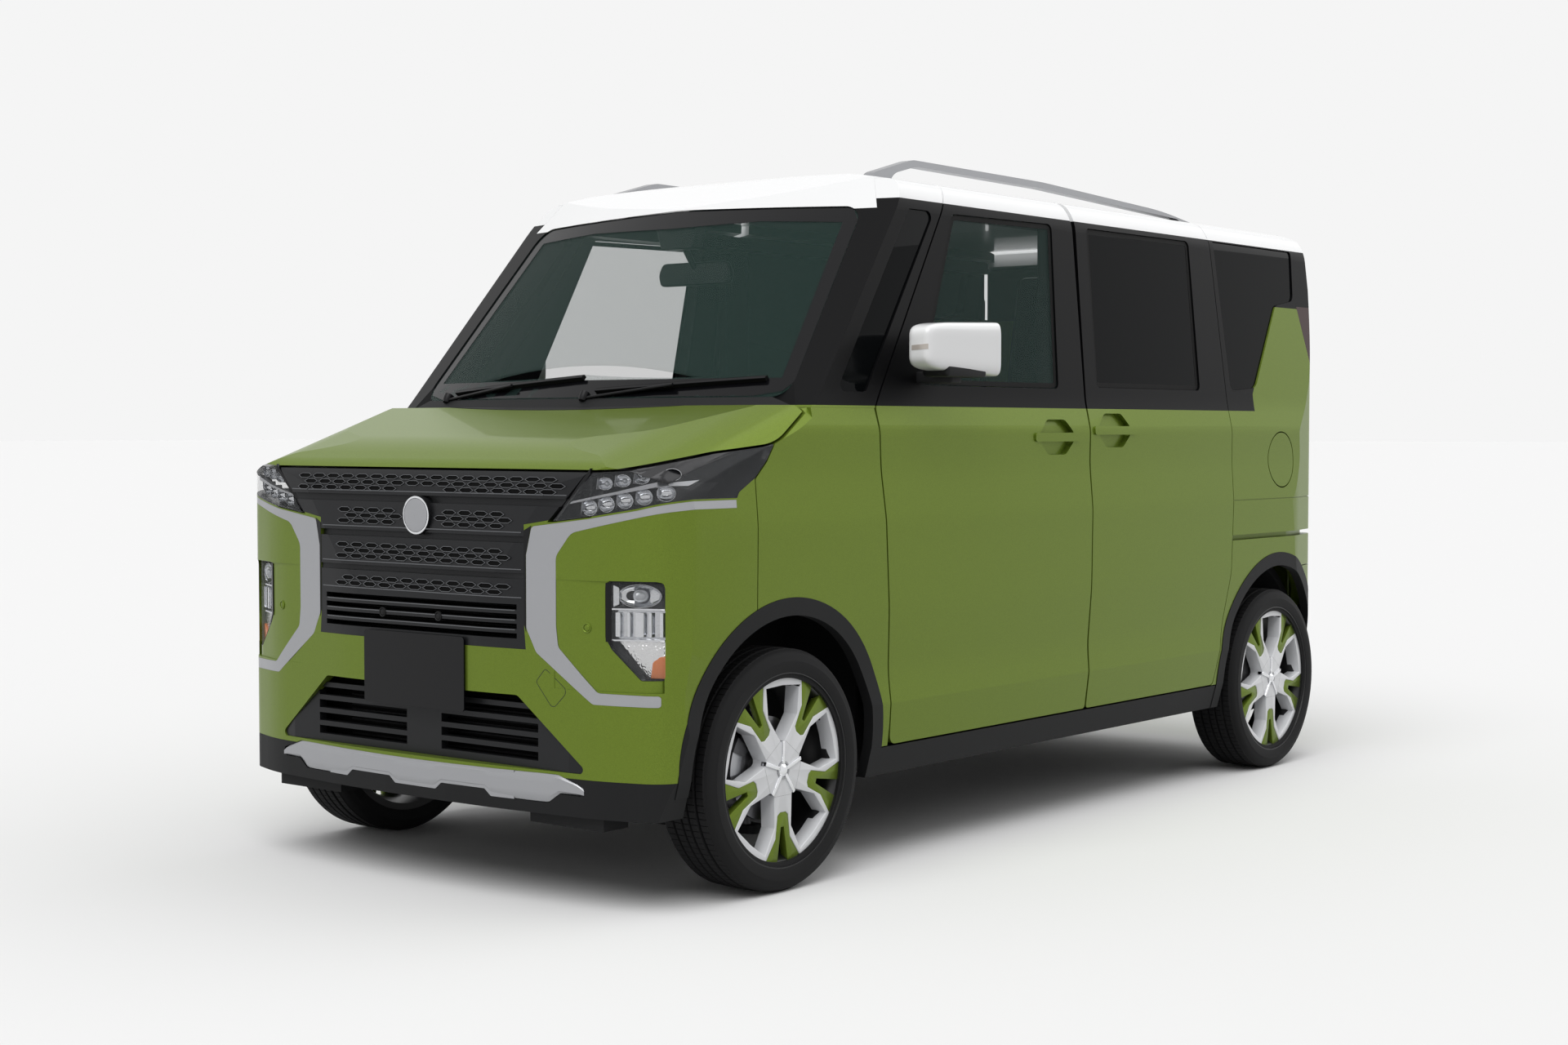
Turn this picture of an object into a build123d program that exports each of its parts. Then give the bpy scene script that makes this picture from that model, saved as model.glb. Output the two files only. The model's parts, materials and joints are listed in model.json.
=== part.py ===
"""Kei class tall wagon, modelled at full size as an assembly of its real pieces.

Millimetres, +Z up, the floor at z = 0. The front faces -Y and the car's left side is +X.
The origin is on the floor under the middle of the body's length and width.
"""

import math
import os
from functools import cache

from build123d import *

os.makedirs("parts", exist_ok=True)

# ---------------------------------------------------------------- driving dimensions
LENGTH = 3395.0
WIDTH = 1475.0
NOSE = -LENGTH / 2
TAIL = LENGTH / 2
HALF = WIDTH / 2
WHEELBASE = 2495.0
FRONT_AXLE = -1196.0
REAR_AXLE = FRONT_AXLE + WHEELBASE

ROOF_TOP = 1766.0
SHUT_GAP = 5.0  # round every panel that opens
SEAM = 3.0  # between panels that are bolted on
SEAT_GAP = 0.3  # between a piece and what carries it
SIDE_WALL = 52.0  # a whole door or side, skin to trim
FRAME_WALL = 36.0  # window frames and pillars above the belt
ROOF_WALL = 30.0
TAIL_WALL = 60.0
GATE_HEAD = 44.0  # the tailgate's thickness at the roof
SCREEN_WALL = 34.0
GLASS = 5.0

BELT_Z = 1160.0
FLOOR_Z = 262.0
FLOOR_THICK = 36.0
FENDER_WALL = 40.0
BUMPER_WALL = 40.0
CRASH_BEAM_Z = 482.0
DOOR_FOOT_Z = 300.0
ROOF_SEAM_Z = 1722.0

TYRE_R = 286.0
TYRE_W = 165.0
RIM_R = 226.0
BEAD_SINK = 10.7  # how deep the tyre's bead sits inside the rim's flange
WHEEL_X = 649.0  # middle of the tyre
ARCH_R = 336.0
ARCH_LIP_R = 378.0
WHEELHOUSE_WALL = 26.0
ARCH_RISE = 26.0  # arch centre above the axle
ARCH_SHIFT = 8.0

B_LINE_Y = 157.0  # shut line between the doors, up to the belt
B_LINE_HEAD_Y = 195.0
SLIDE_REAR_Y = 985.0

COWL_Y = -1195.0
COWL_Z = 1138.0
SCREEN_HEAD_Y = -735.0
SCREEN_HEAD_Z = 1675.0
SCREEN_BOW_R = 2140.0
COWL_DEPTH = 40.0  # strip between the bonnet and the windscreen
COWL_HALF = 655.0

PLATE_WIDTH = 346.0
PLATE_HEIGHT = 173.0
PLATE_THICK = 4.0
PLATE_Z = 515.0
REAR_PLATE_Z = 720.0

FUEL_Y = 1329.0
FUEL_Z = 985.0
FUEL_R = 86.0
CHEEK_DEPTH = 14.0  # how deep the bumper's lamp recess lies under its skin
GARNISH_END_Y = -1385.0  # rear end of the bright strip under the headlamp
BAR_GAP = 12.0  # depth of the grooves between the grille's bars
HANDLE_DEPTH = 16.0  # how deep a door handle's pocket is
SLOT_Z = 747.0  # the sliding door's rail
SLOT_HALF = 8.0

BULKHEAD_Y = -740.0
SILL_FOOT_Z = 224.0
JACK_Z = 216.0
KNUCKLE_FOOT = (600.0, FRONT_AXLE, 150.0)  # lower and upper end of the steering axis
KNUCKLE_HEAD = (480.0, FRONT_AXLE, 750.0)
PIN_R = 14.0
RUN_FIT = 0.05  # between a stub axle or pin and its bore
AXLE_R = 22.0
HUB_X = 628.0  # inner end of the wheel's hub
DRIVER_X = -330.0  # middle of the driver's seat and steering wheel


# ---------------------------------------------------------------- drawing helpers
ARC_SHARE = 0.48  # most of a run that one corner's arc may take


def closed_face(rows):
    """A planar face from rows of (u, v, corner radius), its corners rounded by tangent arcs."""
    points = [Vector(u, v) for u, v, _ in rows]
    count = len(points)
    edges, last, first = [], None, None
    for i, (_, _, radius) in enumerate(rows):
        corner = points[i]
        back, ahead = points[i - 1] - corner, points[(i + 1) % count] - corner
        turn = math.pi - math.radians(back.get_angle(ahead))
        start = end = corner
        if radius > 0 and turn > 1e-4:
            room = ARC_SHARE * min(back.length, ahead.length)
            reach = min(radius * math.tan(turn / 2), room)
            start = corner + back.normalized() * reach
            end = corner + ahead.normalized() * reach
        if last is not None:
            edges.append(Line(last, start))
        else:
            first = start
        if start is not end:
            bulge = reach / math.tan(turn / 2)
            inward = (back.normalized() + ahead.normalized()).normalized()
            centre = corner + inward * math.hypot(bulge, reach)
            edges.append(ThreePointArc(start, centre - inward * bulge, end))
        last = end
    edges.append(Line(last, first))
    return make_face(edges)


def side_prism(rows, x0, x1):
    """Side view outline of (y, z, radius) rows, solid from x0 to x1."""
    low, high = min(x0, x1), max(x0, x1)
    plane = Plane(origin=(low, 0, 0), x_dir=(0, 1, 0), z_dir=(1, 0, 0))
    return extrude(plane * closed_face(rows), high - low)


def front_prism(rows, y0, y1):
    """Front view outline of (x, z, radius) rows, solid from y0 to y1."""
    low, high = min(y0, y1), max(y0, y1)
    plane = Plane(origin=(0, high, 0), x_dir=(1, 0, 0), z_dir=(0, -1, 0))
    return extrude(plane * closed_face(rows), high - low)


def plan_prism(rows, z0, z1):
    """Plan outline of (x, y, radius) rows, solid from z0 to z1."""
    return extrude(Plane.XY.offset(min(z0, z1)) * closed_face(rows), abs(z1 - z0))


def block(x0, x1, y0, y1, z0, z1):
    """Box by its six sides."""
    size = (abs(x1 - x0), abs(y1 - y0), abs(z1 - z0))
    centre = ((x0 + x1) / 2, (y0 + y1) / 2, (z0 + z1) / 2)
    return Pos(*centre) * Box(*size)


def cross_rod(radius, x0, x1, y, z):
    """Round bar along X."""
    middle = Pos((x0 + x1) / 2, y, z) * Rot(0, 90, 0)
    return middle * Cylinder(radius, abs(x1 - x0))


def mirrored(shape):
    """The same piece on the car's other side."""
    return mirror(shape, about=Plane.YZ)


def both(shape):
    """The left piece and its mirror image."""
    return Compound([*shape.solids(), *mirrored(shape).solids()])


def mirror_rows(rows):
    """Closes a right-half outline of (x, v, radius) rows with its mirror image."""
    return [*rows, *[(-x, v, r) for x, v, r in reversed(rows) if abs(x) > 1e-6]]


def write(name, shape):
    """One STEP for each node, with only its solids."""
    solids = shape.solids()
    result = solids[0] if len(solids) == 1 else Compound(solids)
    export_step(result, f"parts/{name}.step")
    print(name, len(solids), round(sum(s.volume for s in solids) / 1e6, 2), "litres")


# ---------------------------------------------------------------- the body's outer form
# Half cross-section through the doors: half width, height, arc radius.
SECTION = (
    (688, 196, 0),
    (716, 300, 0),
    (728, 404, 30),
    (723, 480, 400),
    (735, 640, 900),
    (737.5, 860, 300),
    (727, 985, 500),
    (729, 1078, 120),
    (712, 1160, 500),
    (652, 1664, 300),
    (616, 1716, 60),
    (455, 1744, 600),
)


def section_rows(wall, roof_wall):
    """SECTION moved in by a wall thickness, with the roof lowered."""
    rows = [(0, 150, 0), (SECTION[0][0] - wall, 150, 0)]
    for x, z, r in SECTION:
        inset = wall if z < BELT_Z + 1 else wall * FRAME_WALL / SIDE_WALL
        drop = roof_wall if z > 1700 else 0
        rows.append((x - inset, z - drop, r))
    rows.append((0, ROOF_TOP - roof_wall, 0))
    return rows


# Side view of the body on its middle line: y, height, arc radius.
PROFILE = (
    (NOSE + PLATE_THICK, 150, 0),
    (NOSE + PLATE_THICK, 720, 0),
    (-1672, 988, 90),
    (-1560, 1052, 400),
    (COWL_Y, COWL_Z, 0),
    (SCREEN_HEAD_Y, SCREEN_HEAD_Z, 60),
    (-560, 1757, 200),
    (100, 1768, 2000),
    (1500, 1738, 500),
    (1655, 1700, 40),
    (TAIL - PLATE_THICK, 1040, 200),
    (TAIL - PLATE_THICK, 150, 0),
)
# How far each wall moves in, by the part of the profile: cowl and screen, roof, tail.
PROFILE_MOVES = ("front",) * 4 + ("screen",) * 2 + ("roof",) * 4 + ("tail",) * 2

# Plan of the body above the bumper, left half, from the nose back: x, y, arc radius.
PLAN = (
    (0, NOSE, 0),
    (260, NOSE + 10, 1200),
    (560, NOSE + 40, 500),
    (700, NOSE + 88, 90),
    (HALF, -1520, 100),
    (HALF, 1420, 300),
    (690, 1640, 150),
    (560, TAIL - 6, 200),
    (0, TAIL, 0),
)


def screen_plan(foot_y):
    """Plan of everything ahead of the windscreen's curved foot."""
    chord = 900.0
    rear = foot_y + SCREEN_BOW_R - math.sqrt(SCREEN_BOW_R**2 - chord**2)
    bow = ThreePointArc((-chord, rear), (0, foot_y), (chord, rear))
    sides = Polyline((chord, rear), (chord, -2600), (-chord, -2600), (-chord, rear))
    return make_face([bow, *sides.edges()])


def screen_front(inset=0.0):
    """Everything in front of the curved windscreen, above its foot."""
    rise = Vector(0, SCREEN_HEAD_Y - COWL_Y, SCREEN_HEAD_Z - COWL_Z)
    return extrude(Plane.XY.offset(COWL_Z) * screen_plan(COWL_Y + inset), rise.length * 1.4, dir=rise.normalized())


def cowl_front(step=0.0):
    """Everything ahead of the bonnet's rear edge, moved back by step."""
    return extrude(screen_plan(COWL_Y - COWL_DEPTH + step), 1500)


@cache
def body_form(wall=0.0, roof_wall=0.0, tail_wall=0.0, nose_wall=0.0):
    """The closed form of the body, moved in by its walls."""
    moves = {"front": nose_wall, "screen": nose_wall, "roof": 0.0, "tail": -tail_wall}
    profile = []
    for (y, z, r), kind in zip(PROFILE, PROFILE_MOVES):
        profile.append((y + moves[kind], z - (roof_wall if kind == "roof" else 0), r))
    plan = [(x - (wall if x > 500 else 0), y, r) for x, y, r in PLAN]
    form = front_prism(mirror_rows(section_rows(wall, roof_wall)), NOSE - 50, TAIL + 50)
    form &= side_prism(profile, -800, 800)
    form &= plan_prism(mirror_rows(plan), 100, 1900)
    return form - screen_front(nose_wall) - shoulder_cut(wall)


# Half width and height of the bonnet's rounded shoulder at its front end, with arc radius.
SHOULDER = ((0, 1040, 0), (540, 1012, 300), (640, 985, 200), (700, 955, 90), (737, 900, 120), (790, 760, 0))
SHOULDER_Y = -1640.0
SHOULDER_END_Y = -1095.0
SHOULDER_RISE = 0.343  # how much it climbs towards the windscreen


@cache
def shoulder_cut(wall=0.0):
    """What lies outside the bonnet's crown, over the lamps and fenders."""
    start = SHOULDER_Y - 120
    rows = [(x, z - wall - 120 * SHOULDER_RISE, r) for x, z, r in SHOULDER]
    rows = [*rows, (790, 1600, 0), (0, 1600, 0)]
    plane = Plane(origin=(0, start, 0), x_dir=(1, 0, 0), z_dir=(0, -1, 0))
    way = Vector(0, 1, SHOULDER_RISE)
    half = extrude(plane * closed_face(rows), way.length * (SHOULDER_END_Y - start), dir=way.normalized())
    half &= block(0, 900, start - 10, SHOULDER_END_Y, 0, 2000)
    return half + mirrored(half)


OUTER = body_form()
INNER = body_form(SIDE_WALL, ROOF_WALL, TAIL_WALL, SCREEN_WALL)
INNER_CLEAR = body_form(SIDE_WALL + 9, ROOF_WALL + 9, TAIL_WALL, SCREEN_WALL)
BODY_SHELL = OUTER - INNER


@cache
def skin(depth):
    """The body's skin to an even depth all round."""
    return OUTER - body_form(depth, depth, depth, depth)


# ---------------------------------------------------------------- side view outlines: y, z, arc radius
HALF_GAP = SHUT_GAP / 2
FENDER_Y = -1312.0  # seam between fender and bumper
FRONT_DOOR = (
    (-775, DOOR_FOOT_Z, 25),
    (-800, 640, 300),
    (-836, 1133, 20),
    (-405, ROOF_SEAM_Z, 30),
    (B_LINE_HEAD_Y - HALF_GAP, ROOF_SEAM_Z, 6),
    (B_LINE_Y - HALF_GAP, BELT_Z, 60),
    (B_LINE_Y - HALF_GAP, DOOR_FOOT_Z, 10),
)
SLIDING_DOOR = (
    (B_LINE_Y + HALF_GAP, DOOR_FOOT_Z, 10),
    (B_LINE_Y + HALF_GAP, BELT_Z, 60),
    (B_LINE_HEAD_Y + HALF_GAP, ROOF_SEAM_Z, 6),
    (SLIDE_REAR_Y - 8, ROOF_SEAM_Z, 6),
    (SLIDE_REAR_Y + 12, 1000, 200),
    (SLIDE_REAR_Y, 640, 200),
    (SLIDE_REAR_Y - 82, DOOR_FOOT_Z, 20),
)
FRONT_HANDLE = (-17.0, 1060.0)  # middle of the grip: y, z
SLIDING_HANDLE = (291.0, 1078.0)
FRONT_WINDOW = ((-640, 1192, 22), (-420, 1640, 22), (66, 1648, 18), (20, 1192, 18))
SLIDING_WINDOW = ((222, 1198, 18), (250, 1650, 18), (846, 1652, 18), (828, 1198, 18))
QUARTER_WINDOW = (
    (1026, 1200, 20),
    (1004, 1662, 8),
    (1540, 1662, 8),
    (1520, 1500, 30),
    (1390, 1480, 40),
    (1196, 1212, 50),
)
PILLAR_WINDOW = ((-985, 1172, 16), (-868, 1172, 16), (-500, 1640, 16), (-612, 1640, 16))
SCREEN_OPENING = ((640, 1158, 45), (566, 1646, 60), (0, 1664, 900))  # front view: x, z
TAIL_OPENING = ((606, 470, 30), (606, 1900, 0))
TAIL_WINDOW = ((520, 1190, 40), (480, 1630, 40))
TAIL_Y = 1597.0
BUMPER_TOP_Z = 640.0
RAIL_Z = 1642.0
SILL_TOP_Z = 297.0
BELT_FRONT_Z = 1133.0


def grown(rows, step):
    """A convex outline moved out by step on every side."""
    count, out = len(rows), []
    area = sum(rows[i - 1][0] * rows[i][1] - rows[i][0] * rows[i - 1][1] for i in range(count))
    turn = 1 if area > 0 else -1
    for i, (u, v, r) in enumerate(rows):
        a, b, c = Vector(*rows[i - 1][:2]), Vector(u, v), Vector(*rows[(i + 1) % count][:2])
        d, e = (b - a).normalized(), (c - b).normalized()
        n, m = Vector(d.Y, -d.X) * turn, Vector(e.Y, -e.X) * turn
        move = (n + m) * (step / (1 + n.dot(m)))
        out.append((u + move.X, v + move.Y, r))
    return out


def side_region(rows, step=0.0, x0=540.0, x1=900.0):
    """The left half of the space behind a side view outline."""
    return side_prism(grown(rows, step) if step else rows, x0, x1)


def front_region(rows, y0, y1, step=0.0):
    return front_prism(grown(mirror_rows(rows), step) if step else mirror_rows(rows), y0, y1)


def wheel_arch(axle, radius, x0, x1):
    """The space over a wheel, open downwards."""
    y, z = axle + ARCH_SHIFT, TYRE_R + ARCH_RISE
    return cross_rod(radius, x0, x1, y, z) + block(x0, x1, y - radius, y + radius, 0, z)


FRONT_ARCH = wheel_arch(FRONT_AXLE, ARCH_R, 395, 900)
REAR_ARCH = wheel_arch(REAR_AXLE, ARCH_R, 535, 900)
FRONT_LIP_CUT = wheel_arch(FRONT_AXLE, ARCH_LIP_R + SEAT_GAP, 600, 900)
REAR_LIP_CUT = wheel_arch(REAR_AXLE, ARCH_LIP_R + SEAT_GAP, 600, 900)

# The clamshell bonnet's lower edge, side view.
BONNET_LINE = ((-1900, 955, 0), (-1655, 991, 0), (-1424, 1031, 400), (-1240, 1050, 200), (-1085, 1140, 0))
BONNET_SPACE_ROWS = (*BONNET_LINE, (-1085, 1400, 0), (-1900, 1400, 0))
BONNET_WALL = 26.0

# Front view outlines: x, z, arc radius. The headlamp's rear end is cut in side view.
HEADLAMP_FRONT = ((434, 873, 0), (552, 992, 0), (560, 1110, 0), (800, 1110, 0), (800, 934, 0), (732, 926, 0), (651, 906, 60), (534, 886, 60))
HEADLAMP_SIDE = ((-1800, 840, 0), (-1440, 840, 0), (-1373, 939, 0), (-1315, 969, 0), (-1272, 1008, 0), (-1244, 1049, 0), (-1244, 1200, 0), (-1800, 1200, 0))
GRILLE_FRONT = ((356, 583, 0), (352, 631, 0), (352, 866, 0), (424, 877, 0), (548, 1002, 0))
GRILLE_GROOVES = ((908, 925), (824, 839), (742, 755))  # between the four bars
SLAT_Z = (606, 690, 22)
BOSS_R = 46.0
BOSS_Z = 879.0
GARNISH = (
    (430, 869, 0),
    (374, 862, 12),
    (358, 797, 20),
    (358, 631, 20),
    (386, 578, 20),
    (544, 470, 20),
    (697, 469, 6),
    (697, 494, 6),
    (557, 496, 20),
    (449, 593, 20),
    (443, 640, 20),
    (443, 797, 30),
    (486, 850, 40),
    (651, 886, 60),
    (780, 914, 0),
    (780, 930, 0),
    (732, 922, 0),
    (651, 902, 60),
    (534, 882, 60),
)
CHEEK = ((438, 500, 0), (438, 745, 0), (702, 745, 8), (702, 500, 0))
BUMPER_LAMP = ((574, 746, 16), (703, 746, 16), (703, 527, 12), (656, 527, 8), (589, 594, 10), (574, 620, 10))
LOWER_GRILLE = ((330, 478, 20), (536, 312, 10))
SKID_PLATE = ((0, 303, 0), (446, 306, 12), (522, 282, 6), (512, 262, 6), (452, 262, 6), (420, 240, 8), (250, 240, 8), (230, 256, 8), (90, 256, 8), (70, 240, 8), (0, 240, 0))
GUARD_TOP_Z = 300.0
GUARD_FOOT_Z = 184.0


# ---------------------------------------------------------------- doors
def handle_pocket(y, z):
    """The hollow behind a door handle."""
    right = [(y + 46, z - 48, 30), (y + 84, z - 14, 14), (y + 84, z + 14, 14), (y + 46, z + 48, 30)]
    rows = [*right, *[(2 * y - v, w, r) for v, w, r in reversed(right)]]
    return side_region(rows, 0, 600) - body_form(HANDLE_DEPTH)


def handle_bar(y, z):
    """The grip that spans the pocket, proud of the door's skin."""
    rows = ((y - 115, z - 12, 8), (y - 115, z + 12, 8), (y + 115, z + 12, 8), (y + 115, z - 12, 8))
    return side_region(rows, 0, 600) & (body_form(-5.0) - body_form(3.0))


def swing_relief(rows):
    """The door's outline drawn back towards the cabin at its shutting edge."""
    lean = 0.16
    plane = Plane(origin=(300, -lean * (HALF - 300), 0), x_dir=(0, 1, 0), z_dir=(1, 0, 0))
    face = plane * closed_face([(y - (900 if y < -300 else 0), z, r) for y, z, r in rows])
    direction = Vector(1, lean, 0)
    return extrude(face, direction.length * 600, dir=direction.normalized())


def front_door():
    panel = BODY_SHELL & side_region(FRONT_DOOR) & swing_relief(FRONT_DOOR)
    panel = (panel - side_region(FRONT_WINDOW) - handle_pocket(*FRONT_HANDLE)) + handle_bar(*FRONT_HANDLE)
    return max(panel.solids(), key=lambda piece: piece.volume)


def sliding_door():
    door = (BODY_SHELL & side_region(SLIDING_DOOR)) - side_region(SLIDING_WINDOW)
    door = (door - handle_pocket(*SLIDING_HANDLE)) + handle_bar(*SLIDING_HANDLE)
    roller = block(610, 690, 300, 380, SILL_TOP_Z + SEAT_GAP, 330) & body_form(6)
    return door + roller


@cache
def glass_band(sink=6.0):
    """Where the side glass lies: GLASS thick, sunk below the body's surface."""
    return body_form(sink) - body_form(sink + GLASS)


def pane(rows):
    """A window pane that follows the body's side."""
    return glass_band() & side_region(rows, -SEAT_GAP, 500)


# ---------------------------------------------------------------- fixed body panels
TAIL_SPACE = front_region(TAIL_OPENING, TAIL_Y - SHUT_GAP, 1900, SHUT_GAP)
SCREEN_SPACE = front_region(SCREEN_OPENING, -1400, -400)
BUMPER_SPACE_REAR = block(-900, 900, 1380, 1900, 0, BUMPER_TOP_Z)


def bonnet_space(step=0.0):
    """Where the bonnet goes: above its lower line and ahead of the cowl strip."""
    rows = [(y + (step if y > -1800 else 0), z - (step if z < 1300 else 0), r) for y, z, r in BONNET_SPACE_ROWS]
    return side_prism(rows, -900, 900) & cowl_front(step)


HEADER = ((603, 1640, 0), (551, ROOF_SEAM_Z + 4, 0))  # front view of the roof panel's front edge


def side_frame():
    """Left side of the body behind the fender: pillars, cant rail and rear quarter."""
    rows = (
        (-1092, BELT_FRONT_Z, 0),
        (-840, BELT_FRONT_Z, 0),
        (-781, 640, 300),
        (-781, SILL_TOP_Z + 1, 0),
        (1640, SILL_TOP_Z + 1, 0),
        (1640, ROOF_SEAM_Z, 0),
        (-700, ROOF_SEAM_Z, 0),
    )
    side = (OUTER - body_form(SIDE_WALL, ROOF_WALL, 120, SCREEN_WALL)) & side_region(rows)
    side -= front_region(HEADER, -900, -560, SEAT_GAP)
    side -= side_region(FRONT_DOOR, SHUT_GAP)
    side -= side_region(SLIDING_DOOR, SEAM)
    rail = block(545, 606, -560, SLIDE_REAR_Y + 20, RAIL_Z, RAIL_Z + 40)
    rail += block(570, 606, B_LINE_Y - 30, B_LINE_Y + 70, SILL_TOP_Z + SEAT_GAP, RAIL_Z + 10)
    rail &= INNER_CLEAR
    corner = block(545, 700, -700, -470, RAIL_Z, RAIL_Z + 40) & body_form(4, 4, 4, 4)
    corner -= front_region(HEADER, -900, -560, SEAT_GAP) + side_region(FRONT_DOOR, SHUT_GAP)
    rear = block(545, 660, SLIDE_REAR_Y + 14, 1560, RAIL_Z, RAIL_Z + 40)
    rear += block(570, 660, SLIDE_REAR_Y + 14, SLIDE_REAR_Y + 38, SILL_TOP_Z, RAIL_Z + 20)
    rear = (rear & body_form(10, 10, 10, 10)) - side_region(SLIDING_DOOR, SEAM)
    side += rail + corner + rear
    side -= side_region(QUARTER_WINDOW, 0, 610) + side_region(PILLAR_WINDOW, 0, 560)
    side -= REAR_LIP_CUT + REAR_ARCH + cross_rod(ARCH_R + WHEELHOUSE_WALL + SEAT_GAP, 500, 627, REAR_AXLE + ARCH_SHIFT, TYRE_R + ARCH_RISE)
    side -= TAIL_SPACE + BUMPER_SPACE_REAR
    side -= SCREEN_SPACE
    side -= TAIL_LAMP_SPACE
    side -= FUEL_RECESS
    side -= block(500, 900, SLIDE_REAR_Y, 1652, SLOT_Z - SLOT_HALF, SLOT_Z + SLOT_HALF) - body_form(30)
    side -= block(500, 900, SLIDE_REAR_Y, 1700, 861, 864) - body_form(4)
    return max(side.solids(), key=lambda piece: piece.volume)


FUEL_RECESS = cross_rod(FUEL_R + 4.0, HALF - 34, 900, FUEL_Y, FUEL_Z)

TAIL_LAMP = ((1540, 1483, 0), (1760, 1483, 0), (1760, 1041, 0), (1640, 1041, 0), (1600, 1300, 100))
TAIL_LAMP_SPACE = side_region(TAIL_LAMP, 0, TAIL_OPENING[0][0] + SHUT_GAP - 1)

FENDER = (
    (-1092, BELT_FRONT_Z - SEAT_GAP, 0),
    (-844, BELT_FRONT_Z - SEAT_GAP, 0),
    (-784, 640, 300),
    (-784, SILL_TOP_Z + 1, 0),
    (FENDER_Y, SILL_TOP_Z + 1, 0),
    (FENDER_Y, 967, 0),
    (-1270, 1005, 0),
    (-1237, 1053, 0),
    (-1237, 1110, 0),
)


COWL_SPACE = block(-COWL_HALF, COWL_HALF, -1300, -1092, COWL_Z - 40, COWL_Z + 60) - cowl_front(SHUT_GAP)


def roof_panel():
    """Roof skin with the header over the windscreen."""
    roof = (OUTER - body_form(SIDE_WALL, ROOF_WALL, 120, SCREEN_WALL)) & block(-800, 800, -900, 1640, ROOF_SEAM_Z + SEAT_GAP, 1900)
    header = BODY_SHELL & front_region(HEADER, -900, -560) & block(-640, 640, -800, -560, 1640, ROOF_SEAM_Z + 4)
    door = side_region(FRONT_DOOR, SHUT_GAP)
    return (roof + header) - SCREEN_SPACE - TAIL_SPACE - door - mirrored(door)


def fender():
    wing = skin(FENDER_WALL) & side_region(FENDER)
    wing -= bonnet_space(SHUT_GAP)
    wing -= side_region(FRONT_DOOR, SHUT_GAP)
    wing -= COWL_SPACE
    return wing - FRONT_LIP_CUT - FRONT_ARCH


def bonnet():
    raised = OUTER - OUTER.moved(Location((0, 10, -BONNET_WALL)))
    lid = raised & bonnet_space()
    return max(lid.solids(), key=lambda piece: piece.volume)


def front_bumper():
    """Painted bumper skin with its openings and the recessed cheeks round the lower lamps."""
    bumper = skin(BUMPER_WALL) & block(-800, 800, -1800, FENDER_Y - SEAM, GUARD_TOP_Z, 1100)
    bumper -= bonnet_space(SHUT_GAP)
    cheek = front_prism(CHEEK, -1800, -1450) - body_form(CHEEK_DEPTH, CHEEK_DEPTH, CHEEK_DEPTH, CHEEK_DEPTH)
    garnish = front_prism(grown(GARNISH, SEAT_GAP), -1800, GARNISH_END_Y + SEAT_GAP)
    lamp = front_prism(grown(BUMPER_LAMP, SEAT_GAP), -1800, -1450)
    for cut in (HEADLAMP_SPACE, cheek, garnish, lamp, FRONT_LIP_CUT, FRONT_ARCH):
        bumper -= cut + mirrored(cut)
    for rows, step in ((GRILLE_FRONT, 0), (LOWER_GRILLE, 0), (SKID_PLATE, SEAT_GAP)):
        bumper -= front_region(rows, -1800, -1500, step)
    return max(bumper.solids(), key=lambda piece: piece.volume)


HEADLAMP_SPACE = front_prism(HEADLAMP_FRONT, -1800, -1100) & side_region(HEADLAMP_SIDE)


def headlamp():
    lamp = skin(90) & (front_prism(grown(HEADLAMP_FRONT, -SEAT_GAP), -1800, -1100) & side_region(HEADLAMP_SIDE, -SEAT_GAP))
    return lamp - bonnet_space(SHUT_GAP)


def bumper_lamp():
    """Lower lamp, flush with the recessed cheek."""
    band = body_form(CHEEK_DEPTH, CHEEK_DEPTH, CHEEK_DEPTH, CHEEK_DEPTH) - body_form(70, 70, 70, 70)
    return (band & front_prism(grown(BUMPER_LAMP, -SEAT_GAP), -1800, -1530)) - FRONT_LIP_CUT


def garnish():
    """Bright C-shaped strip: from under the headlamp, down beside the grille and out to the corner."""
    strip = (OUTER - body_form(30, 30, 30, 30)) & front_prism(GARNISH, -1800, GARNISH_END_Y)
    return strip - FRONT_LIP_CUT


def upper_grille():
    """Four broad bars with grooves between them, slats below and a plain round boss."""
    grille = (body_form(4, 0, 0, 4) - body_form(34, 0, 0, 34)) & front_region(GRILLE_FRONT, -1800, -1560, -SEAT_GAP)
    grille -= bonnet_space(SHUT_GAP)
    groove_floor = body_form(4 + BAR_GAP, 0, 0, 4 + BAR_GAP)
    for low, high in GRILLE_GROOVES:
        grille -= block(-500, 500, -1800, -1500, low, high) - groove_floor
    for z in range(*SLAT_Z):
        grille -= block(-330, 330, -1800, -1500, z, z + 12)
    boss = Pos(0, NOSE + 24, BOSS_Z) * Rot(90, 0, 0) * Cylinder(BOSS_R, 24)
    return grille + boss


def lower_grille():
    grille = (body_form(30, 0, 0, 30) - body_form(52, 0, 0, 52)) & front_region(LOWER_GRILLE, -1800, -1560, -SEAT_GAP)
    for z in range(330, 460, 32):
        grille -= block(-380, -60, -1800, -1500, z, z + 20) + block(60, 380, -1800, -1500, z, z + 20)
    return grille


def cowl_panel():
    return (OUTER & COWL_SPACE) - SCREEN_SPACE


def windscreen():
    band = body_form(0, 0, 0, 5) - body_form(0, 0, 0, 5 + GLASS)
    return band & front_region(SCREEN_OPENING, -1400, -500, -SEAT_GAP)


def tailgate():
    gate = (OUTER - body_form(SIDE_WALL, GATE_HEAD, TAIL_WALL, SCREEN_WALL)) & front_region(TAIL_OPENING, TAIL_Y, 1900)
    return gate - front_region(TAIL_WINDOW, 1400, 1900)


def tail_glass():
    band = body_form(0, 0, 5, 0) - body_form(0, 0, 5 + GLASS, 0)
    return band & front_region(TAIL_WINDOW, 1500, 1900, -SEAT_GAP)


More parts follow.
